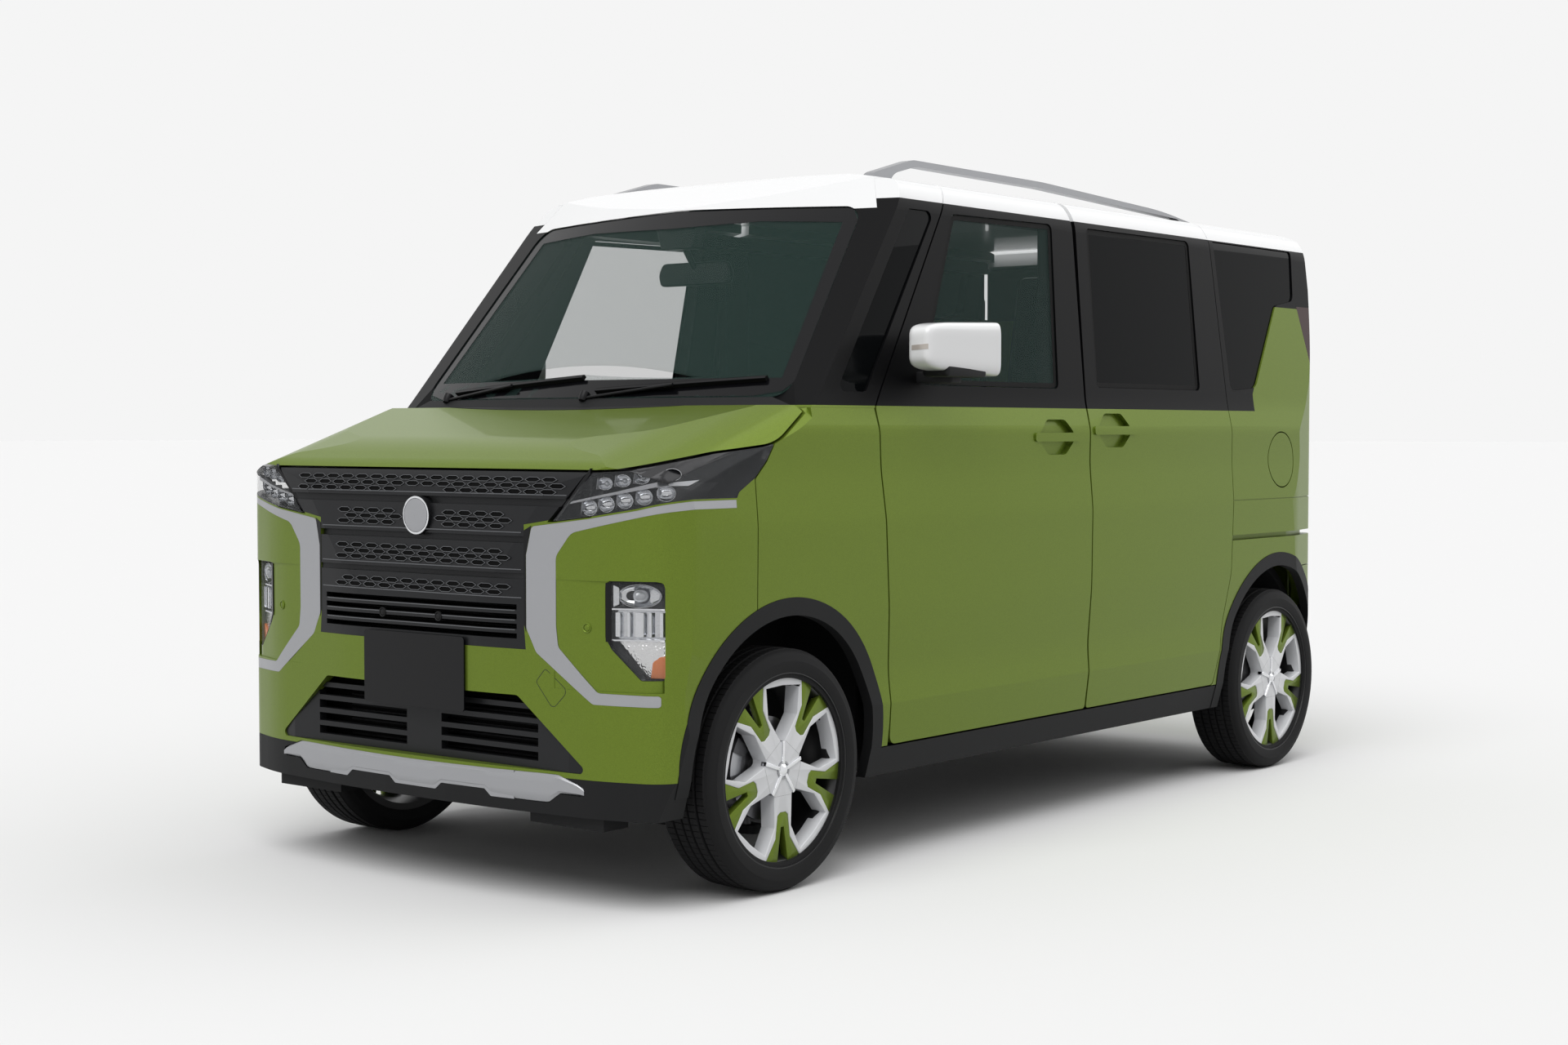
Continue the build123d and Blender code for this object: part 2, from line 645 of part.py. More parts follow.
def rear_bumper():
    bumper = (skin(60) & BUMPER_SPACE_REAR & block(-800, 800, 1380, 1800, 226, BUMPER_TOP_Z - SEAM))
    bumper -= TAIL_SPACE
    for cut in (REAR_LIP_CUT, REAR_ARCH):
        bumper -= cut + mirrored(cut)
    return bumper


def arch_lip(axle):
    """Black moulding round one wheel opening, on the body's side."""
    lip = wheel_arch(axle, ARCH_LIP_R, 640, 900) - wheel_arch(axle, ARCH_R, 600, 950)
    lip &= body_form(-2.0, 0, 0, 0) - body_form(26.0, 0, 0, 26)
    return lip & block(600, 900, axle - 500, axle + 500, SILL_FOOT_Z, 900)


def mouldings():
    sill = (OUTER - body_form(44, 0, 0, 0)) & block(500, 900, -1000, 1120, SILL_FOOT_Z, SILL_TOP_Z - 2)
    sill -= wheel_arch(FRONT_AXLE, ARCH_LIP_R, 400, 900) + wheel_arch(REAR_AXLE, ARCH_LIP_R, 400, 900)
    front = arch_lip(FRONT_AXLE) - block(500, 900, -1800, -1450, 0, 262)
    rear = arch_lip(REAR_AXLE) - side_region(SLIDING_DOOR, SHUT_GAP)
    return both(sill + front + rear)


# ---------------------------------------------------------------- fittings on the body
def mirror_body():
    """Folding door mirror: a rounded housing on a short foot."""
    shell = Pos(808, -612, 1284) * Box(92, 150, 128)
    shell = chamfer(shell.edges().filter_by(Axis.Y), 26)
    shell = chamfer(shell.edges().group_by(Axis.Y)[0], 18)
    foot = block(720, 800, -668, -600, 1196, 1224) - body_form(-0.2)
    return shell + foot


def roof_rail():
    """One roof rail: a slim bar on two long feet."""
    rows = ((-540, 1725, 10), (-520, 1752, 60), (-345, 1800, 120), (300, 1796, 2000), (1000, 1766, 2000), (1218, 1738, 40), (1228, 1722, 4))
    under = ((1160, 1722, 4), (1100, 1748, 60), (300, 1778, 2000), (-330, 1783, 120), (-430, 1757, 60), (-455, 1725, 8))
    bar = side_prism((*rows, *under), 444, 476)
    return bar - OUTER.moved(Location((0, 0, SEAT_GAP)))


def fuel_lid():
    return cross_rod(FUEL_R, 600, 900, FUEL_Y, FUEL_Z) & (OUTER - body_form(8))



def plate(front):
    y = NOSE if front else TAIL - PLATE_THICK
    z = PLATE_Z if front else REAR_PLATE_Z
    face = Pos(0, y + PLATE_THICK / 2, z) * Box(PLATE_WIDTH, PLATE_THICK - SEAT_GAP, PLATE_HEIGHT)
    return fillet(face.edges().filter_by(Axis.Y), 8)


def tail_lamp():
    lamp = (OUTER - body_form(70, 0, 90, 0)) & side_region(TAIL_LAMP, -SEAT_GAP, TAIL_OPENING[0][0] + SHUT_GAP + 1)
    return lamp


def rear_spoiler():
    """White lip over the tailgate's glass."""
    rows = ((TAIL_Y + 26, 1700, 4), (TAIL_Y + 26, 1730, 10), (1676, 1722, 6), (1672, 1712, 6))
    lip = side_prism(rows, -556, 556)
    return lip - OUTER.moved(Location((0, SEAT_GAP, SEAT_GAP)))


def skid_plate():
    band = body_form(-0.0, 0, 0, 0) - body_form(0, 0, 0, 12)
    return band & front_region(SKID_PLATE, -1800, -1560)


def under_guard():
    """Black lower lip of the front bumper."""
    lip = skin(60) & block(-800, 800, -1800, FRONT_AXLE - 60, GUARD_FOOT_Z + 30, GUARD_TOP_Z - SEAT_GAP)
    lip -= front_region(SKID_PLATE, -1800, -1560, SEAT_GAP)
    step = block(-560, -330, -1640, -1560, GUARD_FOOT_Z, 240) + block(330, 560, -1640, -1560, GUARD_FOOT_Z, 240)
    lip += step & OUTER
    return lip - FRONT_ARCH - mirrored(FRONT_ARCH)


# ---------------------------------------------------------------- structure and running gear
def floor_pan():
    """Floor, sills, bulkhead and inner wheelhouses."""
    rows = ((-744, FLOOR_Z - FLOOR_THICK, 10), (-744, FLOOR_Z, 10), (1080, FLOOR_Z, 60), (1150, FLOOR_Z + 160, 60), (1630, FLOOR_Z + 160, 4), (1630, FLOOR_Z + 160 - FLOOR_THICK, 4), (1170, FLOOR_Z + 160 - FLOOR_THICK, 60), (1100, FLOOR_Z - FLOOR_THICK, 60))
    pan = side_prism(rows, -532, 532)
    pan += side_prism(((-744, FLOOR_Z - FLOOR_THICK, 4), (-744, SILL_TOP_Z, 4), (880, SILL_TOP_Z, 4), (880, FLOOR_Z - FLOOR_THICK, 4)), -640, 640)
    pan -= block(-560, 560, BULKHEAD_Y, 881, FLOOR_Z, 600)
    pan += block(-620, 620, BULKHEAD_Y - 50, BULKHEAD_Y, FLOOR_Z - FLOOR_THICK, 1058) & INNER_CLEAR
    house = block(380, 392, -1540, -750, 300, 860) + block(-392, -380, -1540, -750, 300, 860)
    towers = block(380, 560, FRONT_AXLE - 70, FRONT_AXLE + 70, 820, 860)
    beam_z = (CRASH_BEAM_Z, CRASH_BEAM_Z + 78)
    rails = block(340, 392, -1606, -1500, *beam_z)
    beam = block(-380, 380, -1627, -1600, *beam_z)
    beam += block(-140, 140, NOSE + PLATE_THICK + BUMPER_WALL + SEAT_GAP, -1620, *beam_z)
    pan += house + both(towers) + both(rails) + beam
    rear = cross_rod(ARCH_R + WHEELHOUSE_WALL, 500, 626, REAR_AXLE + ARCH_SHIFT, TYRE_R + ARCH_RISE) & block(400, 700, 900, 1700, 300, 900)
    rear = rear & INNER_CLEAR
    rear -= cross_rod(ARCH_R, 520, 700, REAR_AXLE + ARCH_SHIFT, TYRE_R + ARCH_RISE)
    rear -= block(490, 530, REAR_AXLE - 152, REAR_AXLE + 100, 290, 372)
    pads = Compound([*block(570, 630, -680, -620, JACK_Z, 230).solids(), *block(570, 630, 750, 810, JACK_Z, 230).solids()])
    return pan + both(rear) + both(pads)


def wheel_section(rows):
    """Turns a closed (radius, across) section round the axle."""
    plane = Plane(origin=(0, 0, 0), x_dir=(0, 0, 1), z_dir=(0, -1, 0))
    return revolve(plane * closed_face([(r, x, 0) for r, x in rows]), Axis.X)


def tyre():
    """Low profile tyre: beads, widest point of the wall, and tread."""
    half = TYRE_W / 2
    side = ((RIM_R - BEAD_SINK, half - 15.5), (RIM_R + 24, half), (TYRE_R, half - 20))
    return wheel_section([*side, *[(r, -x) for r, x in reversed(side)]])


# Half of one of the wheel's five openings and of one spoke's fork: across, up.
OPENING = ((0, 64), (8, 67), (54, 126), (61, 195))
FORK_SLOT = ((5.5, 134), (21, 226))
SPOKE_STEP = 72.0
SPOKE_DEPTH = 42.0


def rim():
    """Five-spoke alloy wheel, outer face towards +X of its own frame."""
    half = TYRE_W / 2
    seat, lip, inner = RIM_R - BEAD_SINK - SEAT_GAP, RIM_R + 3, RIM_R - 17
    side = ((seat, half - 9), (lip, half - 9), (lip, half - 5), (inner, half - 5))
    barrel = wheel_section([*side, *[(r, -x) for r, x in reversed(side)]])
    face = half - 16
    star = cross_rod(inner + 1, face - SPOKE_DEPTH, face, 0, 0)
    opening = side_prism(mirror_rows([(u, v, 0) for u, v in OPENING]), 0, half)
    slot = side_prism(mirror_rows([(u, v, 0) for u, v in FORK_SLOT]), face - 20, half)
    for i in range(5):
        star -= opening.rotate(Axis.X, SPOKE_STEP * i) + slot.rotate(Axis.X, SPOKE_STEP * (i + 0.5))
    nave = cross_rod(62, HUB_X - WHEEL_X, face - 1, 0, 0)
    return barrel + star + nave - cross_rod(AXLE_R + RUN_FIT, -200, face - 20, 0, 0)


TYRE_FORM = tyre()
RIM_FORM = rim()


def knuckle():
    """Steering knuckle with its stub axle and the strut that turns with it."""
    foot, head = Vector(*KNUCKLE_FOOT), Vector(*KNUCKLE_HEAD)
    lean = (head - foot).normalized()
    plane = Plane(origin=foot, x_dir=(0, 1, 0), z_dir=lean)
    length = (head - foot).length
    strut = extrude(plane.offset(14) * Circle(23), length - 44)
    pin = extrude(plane.offset(-26) * Circle(PIN_R), length + 60)
    upright = block(566, 612, FRONT_AXLE - 48, FRONT_AXLE + 48, 186, 400)
    upright = fillet(upright.edges().filter_by(Axis.X), 20)
    stub = cross_rod(AXLE_R, 580, WHEEL_X + TYRE_W / 2 - 36, FRONT_AXLE, TYRE_R)
    flange = cross_rod(52, 600, HUB_X - 0.3, FRONT_AXLE, TYRE_R)
    arm = block(560, 600, FRONT_AXLE + 20, FRONT_AXLE + 130, 206, 230)
    return upright + strut + pin + stub + flange + arm


def front_subframe():
    """Cross member, lower arms and the struts' upper seats."""
    foot, head = Vector(*KNUCKLE_FOOT), Vector(*KNUCKLE_HEAD)
    lean = (head - foot).normalized()
    plane = Plane(origin=foot, x_dir=(0, 1, 0), z_dir=lean)
    length = (head - foot).length
    beam = block(-300, 300, FRONT_AXLE - 60, FRONT_AXLE + 90, 140, 196)
    arm = plan_prism(((280, FRONT_AXLE - 60, 0), (280, FRONT_AXLE + 90, 0), (560, FRONT_AXLE + 34, 20), (640, FRONT_AXLE + 22, 20), (640, FRONT_AXLE - 22, 20), (560, FRONT_AXLE - 34, 20)), 128, 148)
    arm -= extrude(plane.offset(-60) * Circle(PIN_R + RUN_FIT), 120)
    seat = block(420, 540, FRONT_AXLE - 62, FRONT_AXLE + 62, 748, 820 - SEAT_GAP)
    seat -= extrude(plane.offset(length - 80) * Circle(PIN_R + RUN_FIT), 200)
    seat -= extrude(plane.offset(length - 120) * Circle(30), 118)
    post = block(392 + SEAT_GAP, 424, FRONT_AXLE - 62, FRONT_AXLE + 62, 700, 820 - SEAT_GAP)
    return beam + both(arm + seat + post)


def rear_axle():
    """Twist beam with its trailing arms, stub axles and springs."""
    beam = cross_rod(30, -486, 486, REAR_AXLE - 90, 290)
    front, under = REAR_AXLE - 330, FLOOR_Z - FLOOR_THICK - SEAT_GAP
    arm = side_prism(((front, under - 38, 0), (front, under, 0), (front + 141, under, 0), (REAR_AXLE - 110, 336, 0), (REAR_AXLE + 46, 336, 0), (REAR_AXLE + 46, 240, 0), (REAR_AXLE - 130, 196, 0)), 480, 516)
    stub = cross_rod(AXLE_R, 500, WHEEL_X + TYRE_W / 2 - 36, REAR_AXLE, TYRE_R)
    flange = cross_rod(44, 510, HUB_X - SEAT_GAP, REAR_AXLE, TYRE_R)
    pad = block(400, 496, REAR_AXLE - 52, REAR_AXLE + 36, 308, 328)
    raised = FLOOR_Z + 160 - FLOOR_THICK
    spring = Pos(440, REAR_AXLE - 8, (raised + 320) / 2 - SEAT_GAP / 2) * Cylinder(34, raised - 320 - SEAT_GAP)
    return beam + both(arm + stub + flange + pad + spring)


def engine_block():
    """Engine and gearbox as one closed mass."""
    mass = block(-330, 330, -1400, -900, 196 + SEAT_GAP, 800)
    return fillet(mass.edges().filter_by(Axis.Y), 40)


# ---------------------------------------------------------------- cabin
def dashboard():
    rows = ((BULKHEAD_Y + SEAT_GAP, 760, 20), (-520, 760, 40), (-480, 960, 40), (-560, 1050, 60), (BULKHEAD_Y + SEAT_GAP, 1080, 10))
    board = side_prism(rows, -600, 600) & INNER_CLEAR
    shelf = plan_prism(((-590, -745, 10), (590, -745, 10), (560, -960, 40), (-560, -960, 40)), 1060, 1090) & body_form(70, 70, 70, 70)
    column = Pos(DRIVER_X, -430, 930) * Rot(-62, 0, 0) * Cylinder(24, 150)
    hoop = Cylinder(192, 26) - Cylinder(164, 30)
    ring = Pos(DRIVER_X, -372, 968) * Rot(-62, 0, 0) * (hoop + Box(340, 34, 20) + Cylinder(56, 36))
    return board + shelf + column + ring


def seat(x, width, y, back_z, z=FLOOR_Z):
    """One seat: cushion, raked back and headrest."""
    cushion = side_prism(((y - 480, z + 110, 50), (y - 480, z + 340, 70), (y + 40, z + 290, 40), (y + 60, z + 110, 40)), x - width / 2, x + width / 2)
    back = side_prism(((y - 60, z + 270, 40), (y + 110, back_z, 60), (y + 200, back_z - 10, 60), (y + 90, z + 130, 40), (y - 20, z + 130, 40)), x - width / 2 + 10, x + width / 2 - 10)
    head = Box(260, 96, 180)
    head = fillet(head.edges().filter_by(Axis.Y), 70)
    head = Pos(x, y + 176, back_z + 96) * Rot(-12, 0, 0) * head
    posts = block(x - 60, x - 48, y + 150, y + 162, back_z - 30, back_z + 40) + block(x + 48, x + 60, y + 150, y + 162, back_z - 30, back_z + 40)
    rails = block(x - width / 2 + 40, x - width / 2 + 70, y - 420, y + 20, z + SEAT_GAP, z + 130)
    rails += block(x + width / 2 - 70, x + width / 2 - 40, y - 420, y + 20, z + SEAT_GAP, z + 130)
    return cushion + back + head + posts + rails


SUBFRAME = front_subframe()
FLOOR = floor_pan()
write("floor_pan", FLOOR)
write("front_subframe", SUBFRAME)
write("rear_axle", rear_axle())
write("engine_block", engine_block())
KNUCKLE_LEFT = knuckle()
write("knuckle_left", KNUCKLE_LEFT)
write("knuckle_right", mirrored(KNUCKLE_LEFT))
for place, axle in (("f", FRONT_AXLE), ("r", REAR_AXLE)):
    for side in ("l", "r"):
        for name, form in (("tyre", TYRE_FORM), ("rim", RIM_FORM)):
            if name == "rim" and side == "r":
                form = mirrored(form)
            x = WHEEL_X if side == "l" else -WHEEL_X
            write(f"{name}_{place}{side}", Pos(x, axle, TYRE_R) * form)
write("front_seats", Compound([*seat(330, 470, -120, 880).solids(), *seat(-330, 470, -120, 880).solids()]))
write("rear_seat", seat(0, 1000, 860, 900))
write("dashboard", dashboard())
MIRROR = mirror_body()
write("mirror_left", MIRROR)
write("mirror_right", mirrored(MIRROR))
write("roof_rails", both(roof_rail()))
write("fuel_lid", fuel_lid())
write("number_plate_front", plate(True))
write("number_plate_rear", plate(False))
write("tail_lamps", both(tail_lamp()))
write("rear_spoiler", rear_spoiler())

SIDE_FRAME = side_frame()
write("side_frames", both(SIDE_FRAME))
write("roof_panel", roof_panel())
FENDER_LEFT = fender()
write("fenders", both(FENDER_LEFT))
write("bonnet", bonnet())
write("front_bumper", front_bumper())
write("front_lamps", both(Compound([headlamp(), bumper_lamp()])))
write("silver_trim", Compound([*both(garnish()).solids(), *skid_plate().solids()]))
write("grilles", Compound([*upper_grille().solids(), *lower_grille().solids()]))
write("cowl_panel", cowl_panel())
write("windscreen", windscreen())
write("tailgate", tailgate())
write("tailgate_glass", tail_glass())
write("rear_bumper", rear_bumper())
write("lower_trim", Compound([*mouldings().solids(), *under_guard().solids()]))

FRONT_DOOR_LEFT = front_door()
write("front_door_left", FRONT_DOOR_LEFT)
write("front_door_right", mirrored(FRONT_DOOR_LEFT))
DOOR_GLASS = pane(FRONT_WINDOW)
write("door_glass_left", DOOR_GLASS)
write("door_glass_right", mirrored(DOOR_GLASS))

SLIDING = sliding_door()
write("sliding_doors", both(SLIDING))
write("side_glass", both(Compound([pane(SLIDING_WINDOW), pane(QUARTER_WINDOW), pane(PILLAR_WINDOW)])))
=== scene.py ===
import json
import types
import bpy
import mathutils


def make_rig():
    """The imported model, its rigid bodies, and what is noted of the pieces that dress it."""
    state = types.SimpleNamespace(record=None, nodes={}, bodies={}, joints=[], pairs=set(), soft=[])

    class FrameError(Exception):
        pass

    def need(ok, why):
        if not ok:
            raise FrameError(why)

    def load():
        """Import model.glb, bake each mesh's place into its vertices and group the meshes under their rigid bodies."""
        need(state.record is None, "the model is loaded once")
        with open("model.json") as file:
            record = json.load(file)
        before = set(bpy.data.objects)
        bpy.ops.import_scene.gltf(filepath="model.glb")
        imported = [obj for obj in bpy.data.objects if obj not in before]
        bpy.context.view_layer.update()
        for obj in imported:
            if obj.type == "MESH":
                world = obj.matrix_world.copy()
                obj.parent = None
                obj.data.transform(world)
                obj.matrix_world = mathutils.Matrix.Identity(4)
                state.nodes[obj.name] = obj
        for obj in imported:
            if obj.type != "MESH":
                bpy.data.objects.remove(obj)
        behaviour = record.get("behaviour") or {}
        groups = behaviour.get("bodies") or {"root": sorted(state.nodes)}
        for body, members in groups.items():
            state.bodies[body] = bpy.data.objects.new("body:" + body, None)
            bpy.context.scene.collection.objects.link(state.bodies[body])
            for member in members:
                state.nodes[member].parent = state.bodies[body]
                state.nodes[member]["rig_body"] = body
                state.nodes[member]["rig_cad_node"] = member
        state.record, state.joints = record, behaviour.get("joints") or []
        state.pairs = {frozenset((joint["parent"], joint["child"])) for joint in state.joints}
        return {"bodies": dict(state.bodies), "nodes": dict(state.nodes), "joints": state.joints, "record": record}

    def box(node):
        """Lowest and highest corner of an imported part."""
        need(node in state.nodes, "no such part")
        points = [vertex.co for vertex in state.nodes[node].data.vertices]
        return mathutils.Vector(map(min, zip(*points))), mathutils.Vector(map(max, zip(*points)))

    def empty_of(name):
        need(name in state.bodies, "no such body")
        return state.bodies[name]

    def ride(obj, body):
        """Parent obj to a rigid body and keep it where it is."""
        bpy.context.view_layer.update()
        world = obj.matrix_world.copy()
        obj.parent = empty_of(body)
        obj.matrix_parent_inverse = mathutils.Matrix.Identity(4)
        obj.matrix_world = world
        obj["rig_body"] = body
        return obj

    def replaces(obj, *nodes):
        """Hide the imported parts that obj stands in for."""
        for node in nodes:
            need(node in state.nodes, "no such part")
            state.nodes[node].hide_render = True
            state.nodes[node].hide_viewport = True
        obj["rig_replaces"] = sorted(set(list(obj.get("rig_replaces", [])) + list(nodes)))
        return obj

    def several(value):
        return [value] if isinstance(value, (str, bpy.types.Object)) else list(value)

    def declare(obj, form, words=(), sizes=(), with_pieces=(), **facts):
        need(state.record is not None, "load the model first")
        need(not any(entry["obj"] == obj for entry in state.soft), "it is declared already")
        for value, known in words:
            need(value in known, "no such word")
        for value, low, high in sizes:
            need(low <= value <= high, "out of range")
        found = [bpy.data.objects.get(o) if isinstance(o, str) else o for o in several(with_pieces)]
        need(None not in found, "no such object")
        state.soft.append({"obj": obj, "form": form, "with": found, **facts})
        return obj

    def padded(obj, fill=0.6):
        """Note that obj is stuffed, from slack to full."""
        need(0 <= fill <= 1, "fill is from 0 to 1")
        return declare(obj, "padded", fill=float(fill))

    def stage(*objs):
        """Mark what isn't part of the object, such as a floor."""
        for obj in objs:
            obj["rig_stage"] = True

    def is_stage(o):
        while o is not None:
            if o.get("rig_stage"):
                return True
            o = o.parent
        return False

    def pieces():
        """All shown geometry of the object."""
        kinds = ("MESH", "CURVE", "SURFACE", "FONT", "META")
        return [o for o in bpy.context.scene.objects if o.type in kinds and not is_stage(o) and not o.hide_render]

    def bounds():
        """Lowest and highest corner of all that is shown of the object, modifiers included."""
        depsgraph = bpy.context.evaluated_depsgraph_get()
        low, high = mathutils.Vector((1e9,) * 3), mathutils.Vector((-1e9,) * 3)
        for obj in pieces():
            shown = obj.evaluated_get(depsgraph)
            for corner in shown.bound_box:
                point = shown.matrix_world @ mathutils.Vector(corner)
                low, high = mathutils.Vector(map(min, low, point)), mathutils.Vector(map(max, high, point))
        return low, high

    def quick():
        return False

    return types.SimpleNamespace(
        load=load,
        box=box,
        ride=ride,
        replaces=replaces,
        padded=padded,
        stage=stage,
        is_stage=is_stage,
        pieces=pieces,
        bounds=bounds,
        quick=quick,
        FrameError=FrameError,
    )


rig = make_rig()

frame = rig.load()

import json
import math
from contextlib import contextmanager

import bmesh
import bpy
from mathutils import Matrix, Vector
from mathutils.bvhtree import BVHTree

bl_info = {
    "name": "Kei wagon dressing",
    "version": (1, 0, 0),
    "blender": (4, 5, 0),
    "location": "View3D > Sidebar > Kei wagon",
    "description": "Dresses the packed kei wagon with paint, lamps, wheels and cabin",
    "category": "Object",
}

CAD_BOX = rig.bounds()
NODES = frame["nodes"]

# ---------------------------------------------------------------- sizes shared with the frame, in metres
AXLE_Y = {"f": -1.196, "r": 1.299}
WHEEL_X = 0.649
TYRE_R = 0.286

# ---------------------------------------------------------------- materials
GLASS_IOR = 1.45
FLAKE_SCALE = 900
FLAKE_RANGE = (0.85, 1.15)  # darkest and lightest flake of the metallic paint, as a share of its colour
# numbers of a mix node's two inputs and of its output
MIX_SOCKETS = {"RGBA": (6, 7, 2), "FLOAT": (2, 3, 0)}


def new_material(name, color, metallic=0.0, rough=0.5, **inputs):
    mat = bpy.data.materials.new(name)
    mat.use_nodes = True
    shader = mat.node_tree.nodes["Principled BSDF"]
    shader.inputs["Base Color"].default_value = (*color, 1.0)
    shader.inputs["Metallic"].default_value = metallic
    shader.inputs["Roughness"].default_value = rough
    for key, value in inputs.items():
        shader.inputs[key.replace("_", " ")].default_value = value
    mat.diffuse_color = (*color, 1.0)
    return mat


def add_noise_bump(mat, scale, strength, distance=0.0004, detail=3.0):
    """A fine grain on the surface, read from the object's own coordinates."""
    tree = mat.node_tree
    coords = tree.nodes.new("ShaderNodeTexCoord")
    noise = tree.nodes.new("ShaderNodeTexNoise")
    bump = tree.nodes.new("ShaderNodeBump")
    noise.inputs["Scale"].default_value = scale
    noise.inputs["Detail"].default_value = detail
    bump.inputs["Strength"].default_value = strength
    bump.inputs["Distance"].default_value = distance
    tree.links.new(coords.outputs["Object"], noise.inputs["Vector"])
    tree.links.new(noise.outputs["Fac"], bump.inputs["Height"])
    tree.links.new(bump.outputs["Normal"], tree.nodes["Principled BSDF"].inputs["Normal"])
    return mat


def glass_material(name, color, alpha, shine=0.2):
    """Thin glass: mostly see-through, with a clear reflection of its own."""
    mat = new_material(name, color, 0.0, 0.0, IOR=GLASS_IOR, Specular_IOR_Level=shine, Alpha=alpha)
    mat.diffuse_color = (*color, alpha)
    return mat


class Finish:
    """The wagon's finishes, made once by the operator for materials."""


def make_finishes(props):
    Finish.green = metallic_paint("green metallic paint", tuple(props.body_color))
    Finish.white = new_material(
        "pearl white paint", tuple(props.roof_color), 0.0, 0.22, Coat_Weight=0.6, Coat_Roughness=0.03
    )
    Finish.gloss_black = new_material(
        "gloss black", (0.004, 0.004, 0.005), 0.0, 0.12, Specular_IOR_Level=0.22
    )
    Finish.satin_black = new_material(
        "satin black pillars", (0.006, 0.006, 0.007), 0.0, 0.35, Specular_IOR_Level=0.2
    )
    Finish.trim = add_noise_bump(
        new_material("grained black plastic", (0.009, 0.0092, 0.0098), 0.0, 0.6, Specular_IOR_Level=0.2),
        900, 0.25,
    )
    Finish.grille = add_noise_bump(
        new_material("dark grille plastic", (0.017, 0.0175, 0.019), 0.35, 0.36, Specular_IOR_Level=0.25),
        1200, 0.1,
    )
    Finish.silver = add_noise_bump(
        new_material("satin silver", (0.36, 0.365, 0.38), 0.95, 0.34), 1500, 0.08
    )
    Finish.chrome = new_material("bright trim", (0.75, 0.76, 0.78), 1.0, 0.12)
    Finish.glass = glass_material("clear green glass", (0.055, 0.105, 0.092), 0.19)
    Finish.dark_glass = glass_material("privacy glass", (0.003, 0.0035, 0.004), 0.985, 0.06)
    Finish.rubber = new_material("seal rubber", (0.006, 0.006, 0.006), 0.0, 0.7, Specular_IOR_Level=0.15)
    Finish.tyre = add_noise_bump(
        new_material("tyre rubber", (0.0055, 0.0055, 0.006), 0.0, 0.75, Specular_IOR_Level=0.25), 400, 0.15
    )
    Finish.wheel_white = new_material(
        "wheel pearl white", (0.78, 0.79, 0.81), 0.0, 0.28, Coat_Weight=0.8, Coat_Roughness=0.05
    )
    Finish.wheel_green = metallic_paint("wheel green paint", tuple(props.body_color))
    Finish.seam_grey = new_material("seam grey", (0.35, 0.35, 0.36), 0.0, 0.5)
    Finish.wheel_black = new_material("wheel black", (0.01, 0.01, 0.011), 0.2, 0.35)
    Finish.steel = new_material("brake steel", (0.3, 0.3, 0.31), 1.0, 0.35)
    Finish.cast = new_material("cast metal", (0.12, 0.12, 0.125), 0.8, 0.55)
    Finish.chassis = new_material("chassis black", (0.009, 0.009, 0.010), 0.0, 0.7, Specular_IOR_Level=0.2)
    Finish.lens = glass_material("lamp lens", (0.25, 0.26, 0.27), 0.10)
    Finish.reflector = new_material("lamp reflector", (0.62, 0.63, 0.65), 1.0, 0.08)
    # Near-black painted shade for openings: the holes of the grille's cells and the space behind its slats.
    Finish.void = new_material("painted shade in openings", (0.002, 0.002, 0.002), 0.0, 0.8, Specular_IOR_Level=0.1)
    # Lighter grey metal as a painted highlight on the grille's edges: the cell rims, the bars' feet and the slats'
    # tops.
    Finish.grille_edge = new_material("painted grille edge highlight", (0.13, 0.134, 0.142), 0.8, 0.3)
    Finish.housing = new_material("lamp housing", (0.012, 0.012, 0.014), 0.3, 0.25)
    Finish.bead = new_material("lamp bead", (0.5, 0.52, 0.55), 0.2, 0.03, Coat_Weight=1.0)
    Finish.facets = add_noise_bump(
        new_material("faceted reflector", (0.8, 0.8, 0.8), 0.9, 0.12), 260, 0.9, 0.002, 0.0
    )
    Finish.mirror = new_material("mirror glass", (0.85, 0.87, 0.88), 1.0, 0.02)
    Finish.clear_strip = new_material("clear indicator", (0.55, 0.5, 0.45), 0.1, 0.1, Coat_Weight=1.0)
    Finish.seam_green = new_material("panel line", (0.012, 0.02, 0.003), 0.0, 0.6)
    Finish.leather = add_noise_bump(
        new_material("wheel leather", (0.016, 0.015, 0.015), 0.0, 0.55), 1800, 0.35
    )
    Finish.screen = new_material("display glass", (0.01, 0.012, 0.016), 0.0, 0.05, Coat_Weight=1.0)
    Finish.amber = new_material("amber lamp", (0.75, 0.2, 0.03), 0.0, 0.2, Coat_Weight=1.0)
    Finish.red = new_material(
        "red lens", (0.30, 0.004, 0.007), 0.0, 0.12, Coat_Weight=0.5, Coat_Roughness=0.02
    )
    Finish.smoked_red = new_material(
        "smoked red lens", (0.035, 0.0015, 0.002), 0.0, 0.1, Specular_IOR_Level=0.3
    )
    Finish.seat = add_noise_bump(
        new_material("seat fabric", (0.035, 0.033, 0.035), 0.0, 0.85, Sheen_Weight=0.3), 1500, 0.4
    )
    Finish.cabin = add_noise_bump(new_material("cabin plastic", (0.02, 0.02, 0.022), 0.0, 0.55), 700, 0.2)


def mix_node(tree, kind):
    """A mix node: the node, its factor, its two inputs and its output, as its kind numbers them."""
    mix = tree.nodes.new("ShaderNodeMix")
    mix.data_type = kind
    first, second, result = MIX_SOCKETS[kind]
    return mix, mix.inputs[0], mix.inputs[first], mix.inputs[second], mix.outputs[result]


